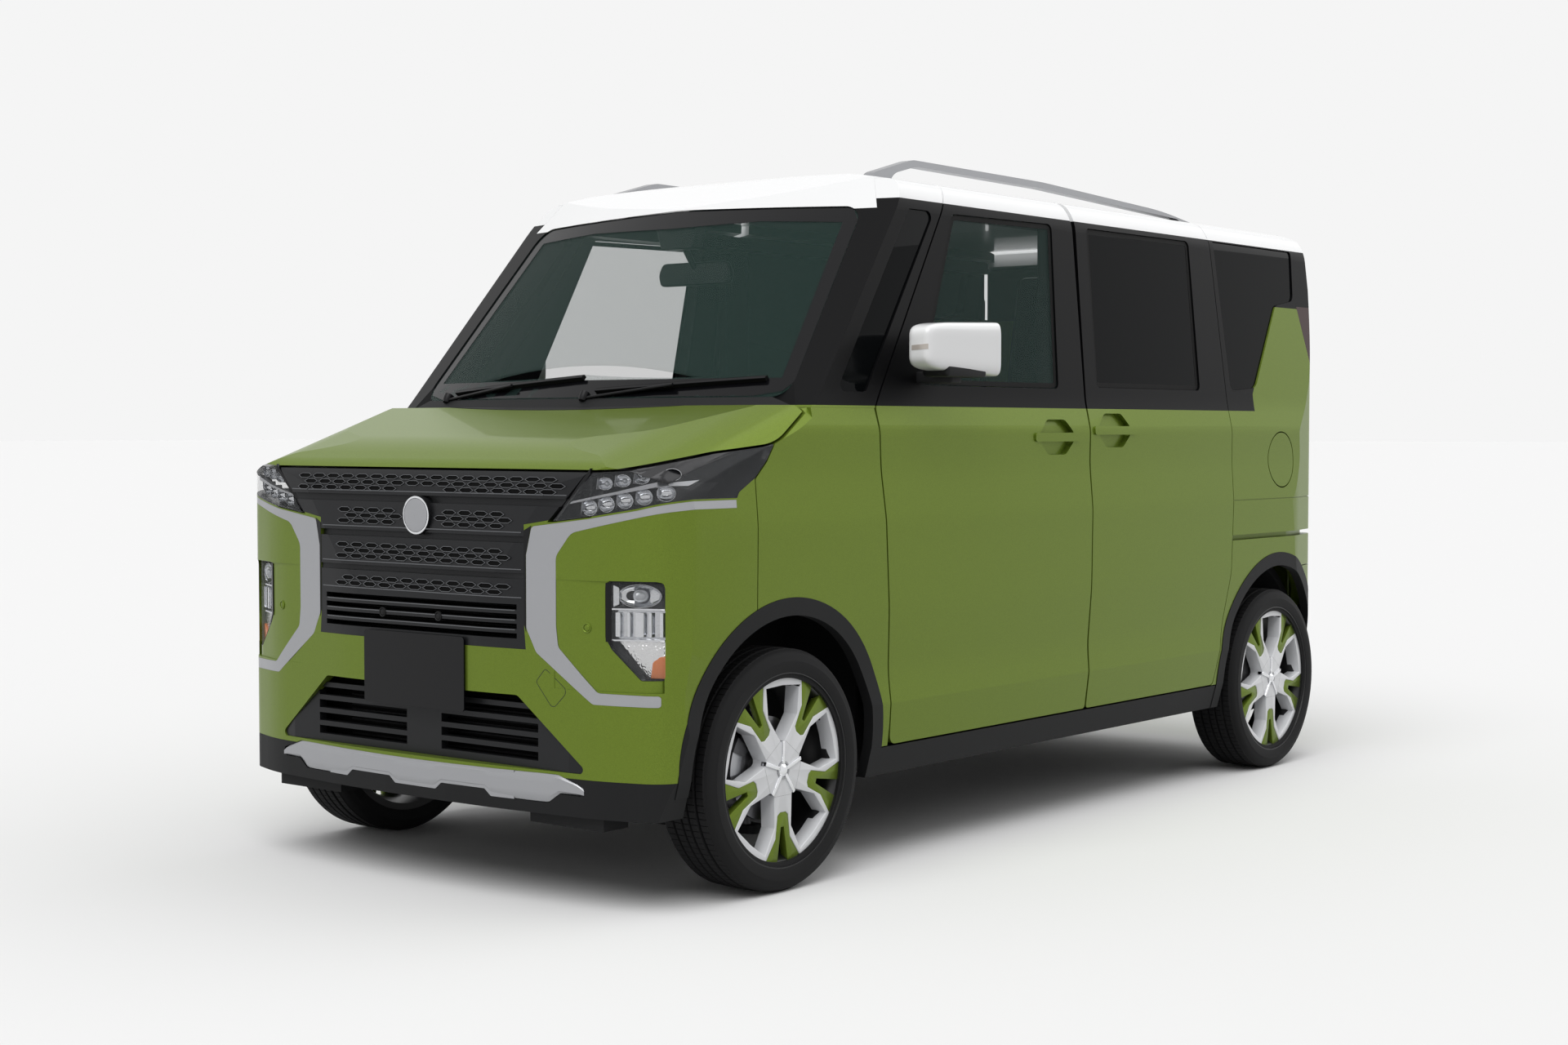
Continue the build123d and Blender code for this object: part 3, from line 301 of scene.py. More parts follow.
def metallic_paint(name, color):
    """Metallic base with a fine grain of flakes, under clear coat."""
    mat = new_material(
        name, color, 0.5, 0.34, Specular_IOR_Level=0.08, Coat_Weight=0.15, Coat_Roughness=0.03
    )
    tree = mat.node_tree
    shader = tree.nodes["Principled BSDF"]
    coords = tree.nodes.new("ShaderNodeTexCoord")
    flakes = tree.nodes.new("ShaderNodeTexVoronoi")
    flakes.inputs["Scale"].default_value = FLAKE_SCALE
    ramp = tree.nodes.new("ShaderNodeMapRange")
    ramp.inputs["To Min"].default_value, ramp.inputs["To Max"].default_value = FLAKE_RANGE
    mix, factor, base, grain, result = mix_node(tree, "RGBA")
    mix.blend_type = "MULTIPLY"
    factor.default_value = 1.0
    tree.links.new(coords.outputs["Object"], flakes.inputs["Vector"])
    tree.links.new(flakes.outputs["Color"], ramp.inputs["Value"])
    tree.links.new(ramp.outputs["Result"], grain)
    base.default_value = (*color, 1.0)
    tree.links.new(result, shader.inputs["Base Color"])
    return mat


# ---------------------------------------------------------------- two-tone paint
BELT_Z = 1.1385
HEADER_Z = 1.6655
QUARTER_FOOT = (1.190, 1.220)  # y, z where the green rises behind the quarter glass
QUARTER_TOP = (1.368, 1.475)
QUARTER_START = QUARTER_FOOT[0] - 0.02
TOWARDS_CABIN = -0.15  # place across the car times the normal: below this a face looks inwards
PILLAR_LOOK = {
    "Base Color": (0.003, 0.003, 0.0035, 1), "Metallic": 0.0, "Roughness": 0.38, "Coat Weight": 0.0
}
ROOF_LOOK = {"Metallic": 0.0, "Roughness": 0.22, "Coat Weight": 0.6}
TRIM_LOOK = {"Base Color": (0.012, 0.012, 0.013, 1), "Metallic": 0.0, "Roughness": 0.6, "Coat Weight": 0.0}


def feed(tree, socket, value):
    """Gives an input a constant, or what another node puts out."""
    if isinstance(value, bpy.types.NodeSocket):
        tree.links.new(value, socket)
    else:
        socket.default_value = value


def math_node(tree, operation, a, b):
    node = tree.nodes.new("ShaderNodeMath")
    node.operation = operation
    feed(tree, node.inputs[0], a)
    feed(tree, node.inputs[1], b)
    return node.outputs[0]


def two_tone_paint(name):
    """Green below the belt, black round the windows, white over them, by height and length."""
    mat = Finish.green.copy()
    mat.name = name
    tree = mat.node_tree
    shader = tree.nodes["Principled BSDF"]
    coords = tree.nodes.new("ShaderNodeTexCoord")
    split = tree.nodes.new("ShaderNodeSeparateXYZ")
    tree.links.new(coords.outputs["Object"], split.inputs[0])
    y, z = split.outputs["Y"], split.outputs["Z"]
    low = math_node(tree, "LESS_THAN", z, BELT_Z)
    slope = (QUARTER_TOP[1] - QUARTER_FOOT[1]) / (QUARTER_TOP[0] - QUARTER_FOOT[0])
    rise = math_node(tree, "MULTIPLY", math_node(tree, "SUBTRACT", y, QUARTER_FOOT[0]), slope)
    line = math_node(tree, "ADD", rise, QUARTER_FOOT[1])
    under_line = math_node(tree, "LESS_THAN", z, line)
    behind = math_node(tree, "GREATER_THAN", y, QUARTER_START)
    under_top = math_node(tree, "LESS_THAN", z, QUARTER_TOP[1])
    pillar = math_node(tree, "MULTIPLY", math_node(tree, "MULTIPLY", under_line, behind), under_top)
    green = math_node(tree, "MAXIMUM", low, pillar)
    white = math_node(tree, "GREATER_THAN", z, HEADER_Z)
    trim = inner_faces(tree, coords, split)
    roof_look = {"Base Color": (*bpy.context.scene.kei_wagon.roof_color, 1), **ROOF_LOOK}
    for socket, black_value in PILLAR_LOOK.items():
        target = shader.inputs[socket]
        base = target.links[0].from_socket if target.links else target.default_value
        blend_sockets(tree, target, base, black_value, roof_look[socket], (green, white, trim))
    return mat


def inner_faces(tree, coords, split):
    """One on faces that look towards the cabin, which are trimmed in dark plastic."""
    facing = tree.nodes.new("ShaderNodeSeparateXYZ")
    tree.links.new(coords.outputs["Normal"], facing.inputs[0])
    inward = math_node(tree, "MULTIPLY", split.outputs["X"], facing.outputs["X"])
    return math_node(tree, "LESS_THAN", inward, TOWARDS_CABIN)


def blend_sockets(tree, target, base, black_value, white_value, factors):
    """Picks the green, black, white or cabin trim value of one shader input."""
    last = black_value
    for value, factor in zip((base, white_value, TRIM_LOOK[target.name]), factors):
        _, share, first, second, result = mix_node(tree, "RGBA" if target.type == "RGBA" else "FLOAT")
        tree.links.new(factor, share)
        feed(tree, first, last)
        feed(tree, second, value)
        last = result
    tree.links.new(last, target)


# ---------------------------------------------------------------- modelling helpers
SPIN_WELD = 0.00001  # points of a spun section nearer than this are one
GRID_WELD = 0.00002  # the same for strips and for copies of the frame's shapes
TO_THE_FRONT = Matrix.Rotation(math.pi / 2, 4, "Z")  # turns the -X end of a lathe piece to the front
AXIS_PLACE = {  # a point from its two places in an outline and its place along the axis
    "x": lambda u, v, w: Vector((w, u, v)),
    "y": lambda u, v, w: Vector((u, w, v)),
    "z": lambda u, v, w: Vector((u, v, w)),
}


def deselect_all():
    if bpy.context.object and bpy.context.object.mode != "OBJECT":
        bpy.ops.object.mode_set(mode="OBJECT")
    bpy.ops.object.select_all(action="DESELECT")


def select_only(obj):
    deselect_all()
    obj.select_set(True)
    bpy.context.view_layer.objects.active = obj


@contextmanager
def edit_mode(select="SELECT"):
    """Edit mode on the active piece, with all or nothing selected, or with None as it was."""
    bpy.ops.object.mode_set(mode="EDIT")
    if select:
        bpy.ops.mesh.select_all(action=select)
    yield
    bpy.ops.object.mode_set(mode="OBJECT")


def named(obj, name):
    obj.name = name
    obj.data.name = name
    return obj


def duplicate(obj):
    """A copy with a mesh of its own."""
    twin = obj.copy()
    twin.data = obj.data.copy()
    bpy.context.scene.collection.objects.link(twin)
    return twin


def apply_modifier(obj, name, kind, **settings):
    """Adds a modifier with its settings and applies it."""
    select_only(obj)
    mod = obj.modifiers.new(name, kind)
    for key, value in settings.items():
        setattr(mod, key, value)
    bpy.ops.object.modifier_apply(modifier=mod.name)


def settle(obj, name, material):
    """Puts the piece's place into its mesh, names it and gives it its finish."""
    select_only(obj)
    bpy.ops.object.transform_apply(location=True, rotation=True, scale=True)
    named(obj, name)
    if material is not None and not obj.data.materials:
        obj.data.materials.append(material)
    return obj


def box_piece(name, low, high, material, bevel=0.0, segments=2):
    deselect_all()
    centre = [(a + b) / 2 for a, b in zip(low, high)]
    bpy.ops.mesh.primitive_cube_add(size=1, location=centre)
    obj = bpy.context.object
    obj.scale = [b - a for a, b in zip(low, high)]
    settle(obj, name, material)
    if bevel:
        bevel_piece(obj, bevel, segments)
    return obj


def bevel_piece(obj, width, segments=2, angle=0.6):
    apply_modifier(
        obj, "bevel", "BEVEL", width=width, segments=segments, limit_method="ANGLE", angle_limit=angle
    )
    bpy.ops.object.shade_smooth_by_angle(angle=0.7)
    return obj


def rod_piece(name, radius, start, end, material, vertices=24):
    start, end = Vector(start), Vector(end)
    along = end - start
    deselect_all()
    bpy.ops.mesh.primitive_cylinder_add(
        vertices=vertices, radius=radius, depth=along.length, location=(start + end) / 2
    )
    obj = bpy.context.object
    obj.rotation_mode = "QUATERNION"
    obj.rotation_quaternion = along.to_track_quat("Z", "Y")
    settle(obj, name, material)
    bpy.ops.object.shade_smooth_by_angle(angle=0.7)
    return obj


def join(pieces, name):
    deselect_all()
    for piece in pieces:
        piece.select_set(True)
    bpy.context.view_layer.objects.active = pieces[0]
    bpy.ops.object.join()
    return named(pieces[0], name)


def copy_mirrored(obj, name):
    """The same piece on the other side of the car."""
    twin = duplicate(obj)
    select_only(twin)
    twin.scale = (-1, 1, 1)
    bpy.ops.object.transform_apply(location=False, rotation=False, scale=True)
    turn_faces(twin)
    return named(twin, name)


def outline_piece(name, points, near, far, material, axis="y", bevel=0.0, segments=2, angle=0.6):
    """An n-gon set to an outline, extruded along an axis from near to far."""
    deselect_all()
    bpy.ops.mesh.primitive_circle_add(vertices=len(points), radius=1, fill_type="NGON")
    obj = bpy.context.object
    put = AXIS_PLACE[axis]
    for vertex, (u, v) in zip(obj.data.vertices, points):
        vertex.co = put(u, v, near)
    with edit_mode():
        bpy.ops.mesh.extrude_region_move(TRANSFORM_OT_translate={"value": put(0, 0, far - near)})
        bpy.ops.mesh.select_all(action="SELECT")
        bpy.ops.mesh.normals_make_consistent(inside=False)
    settle(obj, name, material)
    if bevel:
        bevel_piece(obj, bevel, segments, angle)
    return obj


def lathe_piece(name, section, material, steps=64):
    """A closed (radius, x) section spun round the X axis."""
    deselect_all()
    bpy.ops.mesh.primitive_circle_add(vertices=len(section), radius=1)
    obj = bpy.context.object
    for vertex, (radius, x) in zip(obj.data.vertices, section):
        vertex.co = Vector((x, 0, radius))
    with edit_mode():
        bpy.ops.mesh.spin(steps=steps, angle=math.tau, center=(0, 0, 0), axis=(1, 0, 0))
        bpy.ops.mesh.select_all(action="SELECT")
        bpy.ops.mesh.remove_doubles(threshold=SPIN_WELD)
        bpy.ops.mesh.normals_make_consistent(inside=False)
    settle(obj, name, material)
    bpy.ops.object.shade_smooth_by_angle(angle=0.6)
    return obj


def arc_block(name, inner, outer, start, end, x0, x1, material, steps=12, bevel=0.003):
    """A block bent round the X axis, between two angles from straight up."""
    angles = [start + (end - start) * i / steps for i in range(steps + 1)]
    ring = [(outer * math.sin(a), outer * math.cos(a)) for a in angles]
    ring += [(inner * math.sin(a), inner * math.cos(a)) for a in reversed(angles)]
    return outline_piece(name, ring, x0, x1, material, "x", bevel)


def turned(obj, angle):
    """Turns a piece about the X axis, from straight up towards +Y."""
    obj.data.transform(Matrix.Rotation(-angle, 4, "X"))
    return obj


def placed(obj, place, turn, name):
    """Turns a piece about Z and moves its mesh to its place."""
    obj.data.transform(Matrix.Translation(place) @ Matrix.Rotation(turn, 4, "Z"))
    return named(obj, name)


def placed_copy(obj, name, place, turn=0.0):
    return placed(duplicate(obj), place, turn, name)


def remove_objects(objects):
    for obj in objects:
        bpy.data.objects.remove(obj, do_unlink=True)


def paint_node(node, material):
    obj = NODES[node]
    if not obj.material_slots:
        obj.data.materials.append(material)
    for slot in obj.material_slots:
        slot.material = material


# ---------------------------------------------------------------- placing pieces on a surface
SLIDE_STEPS = 12  # how often, and how far each time, a place slides inwards to find the surface
SLIDE = 0.012
VIEWS = {  # lines of sight: from a place in the view to the start point, and the direction
    "front": (lambda u, v: Vector((u, -3, v)), Vector((0, 1, 0))),
    "rear": (lambda u, v: Vector((u, 3, v)), Vector((0, -1, 0))),
    "left": (lambda u, v: Vector((3, u, v)), Vector((-1, 0, 0))),
    "right": (lambda u, v: Vector((-3, u, v)), Vector((1, 0, 0))),
    "top": (lambda u, v: Vector((u, v, 4)), Vector((0, 0, -1))),
}
TREES = {}  # search trees of the surfaces that pieces are laid on


def search_tree(obj):
    key = (obj.data.name, len(obj.data.polygons))
    if key not in TREES:
        points = [vertex.co.copy() for vertex in obj.data.vertices]
        TREES[key] = BVHTree.FromPolygons(points, [tuple(face.vertices) for face in obj.data.polygons])
    return TREES[key]


def surface(objs, view, u, v):
    """Where a line of sight first meets one or more objects: point and outward normal."""
    start, along = VIEWS[view]
    objs = objs if isinstance(objs, tuple) else (objs,)
    hits = [search_tree(obj).ray_cast(start(u, v), along) for obj in objs]
    hits = [hit for hit in hits if hit[0] is not None]
    if not hits:
        raise RuntimeError(f"{objs[0].name} isn't met at {u:.3f}, {v:.3f} in {view} view")
    point, normal, _, _ = min(hits, key=lambda hit: hit[3])
    return point, normal if normal.dot(along) < 0 else -normal


def spread(points, steps):
    """Places along a run of straight pieces, the same number on each piece."""
    places = []
    for start, end in zip(points, points[1:]):
        places += [tuple(a + (b - a) * i / steps for a, b in zip(start, end)) for i in range(steps)]
    return [*places, points[-1]]


def surface_inside(obj, view, place, middle):
    """The surface at a place, which slides inwards where it lies just off the edge."""
    for step in range(SLIDE_STEPS):
        try:
            return surface(obj, view, *place.lerp(middle, step * SLIDE))
        except RuntimeError:
            if step == SLIDE_STEPS - 1:
                raise


def ribbon(name, obj, view, edges, steps, lift, thickness, material):
    """A thin strip that lies on a surface between two or more edges, each a run of (u, v) places."""
    rows = [spread(edge, steps) for edge in edges]
    columns = len(rows[0]) - 1
    middle = sum((Vector(place) for place in rows[-1]), Vector((0, 0))) / len(rows[-1])
    deselect_all()
    bpy.ops.mesh.primitive_grid_add(x_subdivisions=columns, y_subdivisions=len(rows) - 1, size=1)
    piece = bpy.context.object
    for index, vertex in enumerate(piece.data.vertices):
        row, column = divmod(index, columns + 1)
        point, normal = surface_inside(obj, view, Vector(rows[row][column]), middle)
        vertex.co = point + normal * lift
    settle(piece, name, material)
    with edit_mode():
        bpy.ops.mesh.remove_doubles(threshold=GRID_WELD)
    normal = surface_inside(obj, view, Vector(rows[0][0]), middle)[1]
    if piece.data.polygons[0].normal.dot(normal) < 0:
        turn_faces(piece)
    thicken(piece, thickness)
    bpy.ops.object.shade_smooth_by_angle(angle=0.6)
    return piece


def turn_faces(obj):
    select_only(obj)
    with edit_mode():
        bpy.ops.mesh.flip_normals()


def thicken(obj, thickness):
    """Gives a skin its wall, inwards from its faces."""
    apply_modifier(obj, "wall", "SOLIDIFY", thickness=thickness, offset=-1.0)


def ring_on(name, obj, view, outline, width, steps, lift, thickness, material):
    """A frame of even width just inside an outline."""
    outer = [*outline, outline[0]]
    inner = inset_outline(outline, width)
    return ribbon(name, obj, view, (outer, [*inner, inner[0]]), steps, lift, thickness, material)


def inset_outline(points, width):
    """The outline moved inwards by a width."""
    moved = []
    area = sum(a[0] * b[1] - b[0] * a[1] for a, b in zip(points, [*points[1:], points[0]]))
    side = 1 if area > 0 else -1
    for before, here, after in zip([points[-1], *points[:-1]], points, [*points[1:], points[0]]):
        back = (Vector(here) - Vector(before)).normalized()
        ahead = (Vector(after) - Vector(here)).normalized()
        out_a, out_b = Vector((-back.y, back.x)) * side, Vector((-ahead.y, ahead.x)) * side
        middle = (out_a + out_b).normalized()
        moved.append(tuple(Vector(here) + middle * width / max(middle.dot(out_a), 0.4)))
    return moved


def rounded(points, radius, steps=4):
    """An outline whose corners are arcs."""
    result = []
    for before, here, after in zip([points[-1], *points[:-1]], points, [*points[1:], points[0]]):
        corner = Vector(here)
        back, ahead = (Vector(before) - corner), (Vector(after) - corner)
        reach = min(radius, 0.45 * back.length, 0.45 * ahead.length)
        start, end = corner + back.normalized() * reach, corner + ahead.normalized() * reach
        for i in range(steps + 1):
            t = i / steps
            result.append(tuple(start * (1 - t) ** 2 + corner * 2 * t * (1 - t) + end * t**2))
    return result


def rectangle(u0, v0, u1, v1):
    """An upright rectangle's outline."""
    return [(u0, v0), (u1, v0), (u1, v1), (u0, v1)]


def level_strip(u0, u1, low, high):
    """The lower and the upper edge of a level strip."""
    return [(u0, low), (u1, low)], [(u0, high), (u1, high)]


def on_surface(piece, obj, view, u, v):
    """Moves a piece made at the origin, facing -Y, on to a surface and squares it to the surface."""
    point, normal = surface(obj, view, u, v)
    lean = normal.to_track_quat("-Y", "Z").to_matrix().to_4x4()
    piece.data.transform(Matrix.Translation(point) @ lean)
    return piece


def both_sides(left, name, body):
    """The left piece and its mirror image, each riding on a body."""
    left.name = name + "_left"
    right = copy_mirrored(left, name + "_right")
    for piece in (left, right):
        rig.ride(piece, body)
    return left, right


def copy_of_node(node, name, material):
    """A new piece that starts from a CAD node's shape, with its loose triangles merged."""
    twin = duplicate(NODES[node])
    twin.parent = None
    named(twin, name)
    twin.data.materials.clear()
    twin.data.materials.append(material)
    select_only(twin)
    with edit_mode():
        bpy.ops.mesh.remove_doubles(threshold=GRID_WELD)
    bpy.ops.mesh.customdata_custom_splitnormals_clear()
    return twin


def split_off(obj, wanted, name, material):
    """Cuts the faces that a test picks out of a mesh, as a piece of their own."""
    select_only(obj)
    with edit_mode(None):
        bpy.ops.mesh.select_mode(type="FACE")
        mesh = bmesh.from_edit_mesh(obj.data)
        for face in mesh.faces:
            face.select_set(wanted(face))
        bmesh.update_edit_mesh(obj.data)
        bpy.ops.mesh.separate(type="SELECTED")
    piece = [other for other in bpy.context.selected_objects if other is not obj][0]
    named(piece, name)
    piece.data.materials.clear()
    piece.data.materials.append(material)
    return piece


# ---------------------------------------------------------------- what a user would change
class KeiWagonSettings(bpy.types.PropertyGroup):
    """Colours of the wagon and of its studio, and the strength of the light."""

    body_color: bpy.props.FloatVectorProperty(
        name="Body colour", description="Green metallic paint of the lower body", subtype="COLOR", size=3,
        default=(0.150, 0.214, 0.025), min=0, max=1,
    )
    roof_color: bpy.props.FloatVectorProperty(
        name="Roof colour", description="Paint of the roof, spoiler and mirrors", subtype="COLOR", size=3,
        default=(0.90, 0.905, 0.91), min=0, max=1,
    )
    floor_color: bpy.props.FloatProperty(
        name="Floor grey", description="Brightness of the studio floor", default=0.812, min=0, max=1
    )
    floor_bounce: bpy.props.FloatProperty(
        name="Floor bounce", description="Brightness of the floor in the light that it throws back",
        default=0.35, min=0, max=1,
    )
    key_power: bpy.props.FloatProperty(
        name="Key light", description="Strength of the soft sun over the front", default=1.8, min=0
    )
    sky_low: bpy.props.FloatProperty(
        name="Sky at the horizon", description="Brightness of the room round the car", default=0.30, min=0
    )
    sky_high: bpy.props.FloatProperty(
        name="Sky overhead", description="Brightness of the ceiling", default=0.62, min=0
    )


class KEI_OT_paint(bpy.types.Operator):
    """Gives every part of the frame its finish"""

    bl_idname = "kei.paint"
    bl_label = "Paint and finishes"

    def execute(self, context):
        make_finishes(context.scene.kei_wagon)
        finishes = {
            Finish.green: "fenders front_bumper bonnet rear_bumper fuel_lid",
            two_tone_paint("two-tone side"): "side_frames front_door_left front_door_right sliding_doors",
            two_tone_paint("two-tone tailgate"): "tailgate",
            Finish.white: "roof_panel rear_spoiler mirror_left mirror_right",
            Finish.grille: "grilles",
            Finish.trim: "cowl_panel lower_trim",
            Finish.silver: "silver_trim roof_rails",
            Finish.lens: "front_lamps",
            Finish.smoked_red: "tail_lamps",
            Finish.glass: "windscreen door_glass_left door_glass_right",
            Finish.dark_glass: "side_glass tailgate_glass",
            Finish.gloss_black: "number_plate_front number_plate_rear",
            Finish.chassis: "floor_pan front_subframe rear_axle",
            Finish.cast: "engine_block knuckle_left knuckle_right",
            Finish.seat: "front_seats rear_seat",
            Finish.cabin: "dashboard",
            Finish.tyre: "tyre_fl tyre_fr tyre_rl tyre_rr",
            Finish.wheel_white: "rim_fl rim_fr rim_rl rim_rr",
        }
        for material, names in finishes.items():
            for node in names.split():
                paint_node(node, material)
        return {"FINISHED"}


# ---------------------------------------------------------------- wheels
SECTOR = math.radians(72)
LIP_R = 0.2245  # outer edge of the wheel's face
FACE_X = 0.0665  # outer face, from the middle of the tyre
OPENING = ((0.008, 0.067), (0.054, 0.126), (0.061, 0.195), (0.0, 0.1985))  # half of one opening: across, up
FORK = ((0.099, 0.010), (0.106, 0.020), (0.160, 0.0275))  # insert's side: along the spoke, across it
FORK_EDGE = math.radians(17.6)  # where the insert meets the lip, from the spoke's middle
SLOT_END = (0.134, 0.0055)  # inner end of the white slot that splits the insert: along, across
SLOT_EDGE = math.radians(5.3)
STAR_DEPTH = 0.042
STAR_WELD = 0.00005
FORK_FACE = (0.0015, 0.022)  # the insert's face and back, behind the wheel's face
BARREL = (  # closed section of the rim: radius, x
    (0.2290, 0.0775), (0.2295, 0.0730), (0.2262, 0.0705), (0.2150, 0.0690), (0.2140, 0.0560),
    (0.2050, 0.0430), (0.2050, -0.0430), (0.2140, -0.0560), (0.2150, -0.0690), (0.2262, -0.0705),
    (0.2290, -0.0775), (0.2110, -0.0770), (0.2000, -0.0440), (0.2000, 0.0400), (0.2110, 0.0600),
    (0.2180, 0.0680), (0.2245, 0.0700), (0.2262, 0.0775),
)
NAVE = ((0.001, 0.028), (0.060, 0.028), (0.066, -0.018), (0.001, -0.018))
CAP_RING = (
    (0.0215, FACE_X - 0.001), (0.0215, FACE_X + 0.0024),
    (0.0170, FACE_X + 0.0030), (0.0170, FACE_X - 0.001),
)
CAP_HEIGHT = 0.0075
TREAD = (  # each rib of the tread, from x to x
    (-0.0640, -0.0420), (-0.0360, -0.0140), (-0.0090, 0.0090), (0.0140, 0.0360), (0.0420, 0.0640),
)
TREAD_R = 0.2838
TREAD_DROP = 0.0016  # how much lower the outer ribs lie
GROOVE = 0.0062
SHOULDER = 0.0008
SIDE_WALL = (  # radius, x
    (0.2157, -0.0660), (0.2157, -0.0722), (0.2255, -0.0738), (0.2300, -0.0790), (0.2420, -0.0818),
    (0.2560, -0.0820), (0.2580, -0.0808), (0.2680, -0.0794), (0.2745, -0.0762), (0.2795, -0.0705),
)
RIB_TOP_R = 0.2815  # faces outside this radius are the ribs' tops
BLOCK = (0.0011, 0.0021)  # how far a tread block is set in, and how high it stands


def on_rim(angle, radius=LIP_R):
    """A point of the wheel's edge, by its angle from the top."""
    return (radius * math.sin(angle), radius * math.cos(angle))


def from_spoke(along, across):
    """A point given along and across the spoke that lies half a sector to the right."""
    half = SECTOR / 2
    u, v = math.sin(half), math.cos(half)
    return (along * u - across * v, along * v + across * u)


def spoke_half():
    """Half a sector of the white face, from the middle of an opening to the middle of a spoke."""
    rim_edge = [on_rim(SECTOR / 2 * t / 8) for t in range(5)]
    fork = [from_spoke(a, b) for a, b in reversed(FORK)]
    inner = [from_spoke(FORK[0][0], 0), (0, 0)]
    return [(0, 0.064), *OPENING, *rim_edge, on_rim(SECTOR / 2 - FORK_EDGE), *fork, *inner]


def fork_outline():
    """The green fork, in spoke coordinates turned to point up: across, along."""
    side = [(across, along) for along, across in FORK]
    edge = [on_rim(a) for a in (FORK_EDGE, (FORK_EDGE + SLOT_EDGE) / 2, SLOT_EDGE)]
    right = [*side, *edge, (SLOT_END[1], SLOT_END[0])]
    return [*right, *[(-u, v) for u, v in reversed(right)]]


def wheel_star():
    """White face with its five openings, deep walls and soft edges."""
    halves = []
    for flip in (1, -1):
        outline = [(flip * u, v) for u, v in spoke_half()]
        halves.append(outline_piece("star", outline, FACE_X, FACE_X - STAR_DEPTH, None, "x"))
    sector = join(halves, "star")
    sectors = [sector] + [turned(duplicate(sector), SECTOR * i) for i in range(1, 5)]
    star = join(sectors, "star")
    select_only(star)
    with edit_mode():
        bpy.ops.mesh.remove_doubles(threshold=STAR_WELD)
        bpy.ops.mesh.select_all(action="DESELECT")
    drop_inner_walls(star)
    bevel_piece(star, 0.0022, 3, 0.5)
    star.data.materials.append(Finish.wheel_white)
    return star


def drop_inner_walls(star):
    """Removes the walls that two joined sectors leave between them."""
    half = SECTOR / 2
    with edit_mode(None):
        mesh = bmesh.from_edit_mesh(star.data)
        for face in mesh.faces:
            centre, normal = face.calc_center_median(), face.normal
            angle = math.atan2(centre.y, centre.z) % half
            on_seam = min(angle, half - angle) < 0.002 and abs(normal.x) < 0.5
            radius = max(math.hypot(centre.y, centre.z), 1e-6)
            radial = abs(normal.y * centre.y + normal.z * centre.z) / radius
            face.select = on_seam and radial < 0.2
        bmesh.update_edit_mesh(star.data)
        bpy.ops.mesh.delete(type="FACE")
        bpy.ops.mesh.select_all(action="SELECT")
        bpy.ops.mesh.dissolve_limited(angle_limit=0.02)


def wheel_fork(turn):
    face, back = (FACE_X - depth for depth in FORK_FACE)
    return turned(outline_piece("fork", fork_outline(), face, back, Finish.wheel_green, "x", 0.0012), turn)


def wheel_hub():
    """Bright ribs that point to the openings, a faceted cap and the nave behind the face."""
    pieces = [lathe_piece("nave", NAVE, Finish.wheel_black, 40)]
    for i in range(5):
        low, high = (FACE_X - 0.004, -0.0048, 0.012), (FACE_X + 0.0035, 0.0048, 0.0665)
        rib = box_piece("rib", low, high, Finish.chrome, 0.0018)
        low, high = (FACE_X - 0.014, -0.0052, 0.0620), (FACE_X + 0.0030, 0.0052, 0.0685)
        end = box_piece("rib_end", low, high, Finish.chrome, 0.0018)
        pieces.append(turned(join([rib, end], "rib"), SECTOR * i))
        low, high = (FACE_X - 0.001, -0.033, 0.0600), (FACE_X + 0.00015, 0.033, 0.0606)
        pieces.append(turned(box_piece("seam", low, high, Finish.seam_grey), SECTOR * (i + 0.5)))
    deselect_all()
    bpy.ops.mesh.primitive_cone_add(
        vertices=10,
        radius1=0.0185,
        radius2=0.0075,
        depth=CAP_HEIGHT,
        location=(FACE_X + CAP_HEIGHT / 2, 0, 0),
        rotation=(0, math.pi / 2, 0),
    )
    cap = settle(bpy.context.object, "cap", Finish.chrome)
    bevel_piece(cap, 0.0008, 1, 0.2)
    return [*pieces, cap, lathe_piece("cap_ring", CAP_RING, Finish.silver, 40)]


def tyre_section():
    """Half sections of bead, wall and shoulder, with five ribs between grooves."""
    tread = []
    first, last = TREAD[0], TREAD[-1]
    for rib in TREAD:
        start, end = rib
        top = TREAD_R - TREAD_DROP * (abs(start + end) / abs(sum(first))) ** 2
        before, after = (SHOULDER if rib == edge else GROOVE for edge in (first, last))
        tread += [(top - before, start - SHOULDER), (top, start), (top, end), (top - after, end + SHOULDER)]
    return [*SIDE_WALL, *tread, *[(radius, -x) for radius, x in reversed(SIDE_WALL)]]


def make_tyre():
    """Low tyre with ribs, and blocks raised on them."""
    tyre = lathe_piece("tyre", tyre_section(), Finish.tyre, 108)
    select_only(tyre)
    with edit_mode(None):
        mesh = bmesh.from_edit_mesh(tyre.data)
        for face in mesh.faces:
            centre = face.calc_center_median()
            radius = math.hypot(centre.y, centre.z)
            on_rib = any(start < centre.x < end for start, end in TREAD)
            face.select = on_rib and radius > RIB_TOP_R and abs(face.normal.x) < 0.5
        bmesh.update_edit_mesh(tyre.data)
        bpy.ops.mesh.inset(thickness=BLOCK[0], depth=BLOCK[1], use_individual=True)
        bpy.ops.mesh.select_all(action="DESELECT")
    bpy.ops.object.shade_smooth_by_angle(angle=0.5)
    return tyre


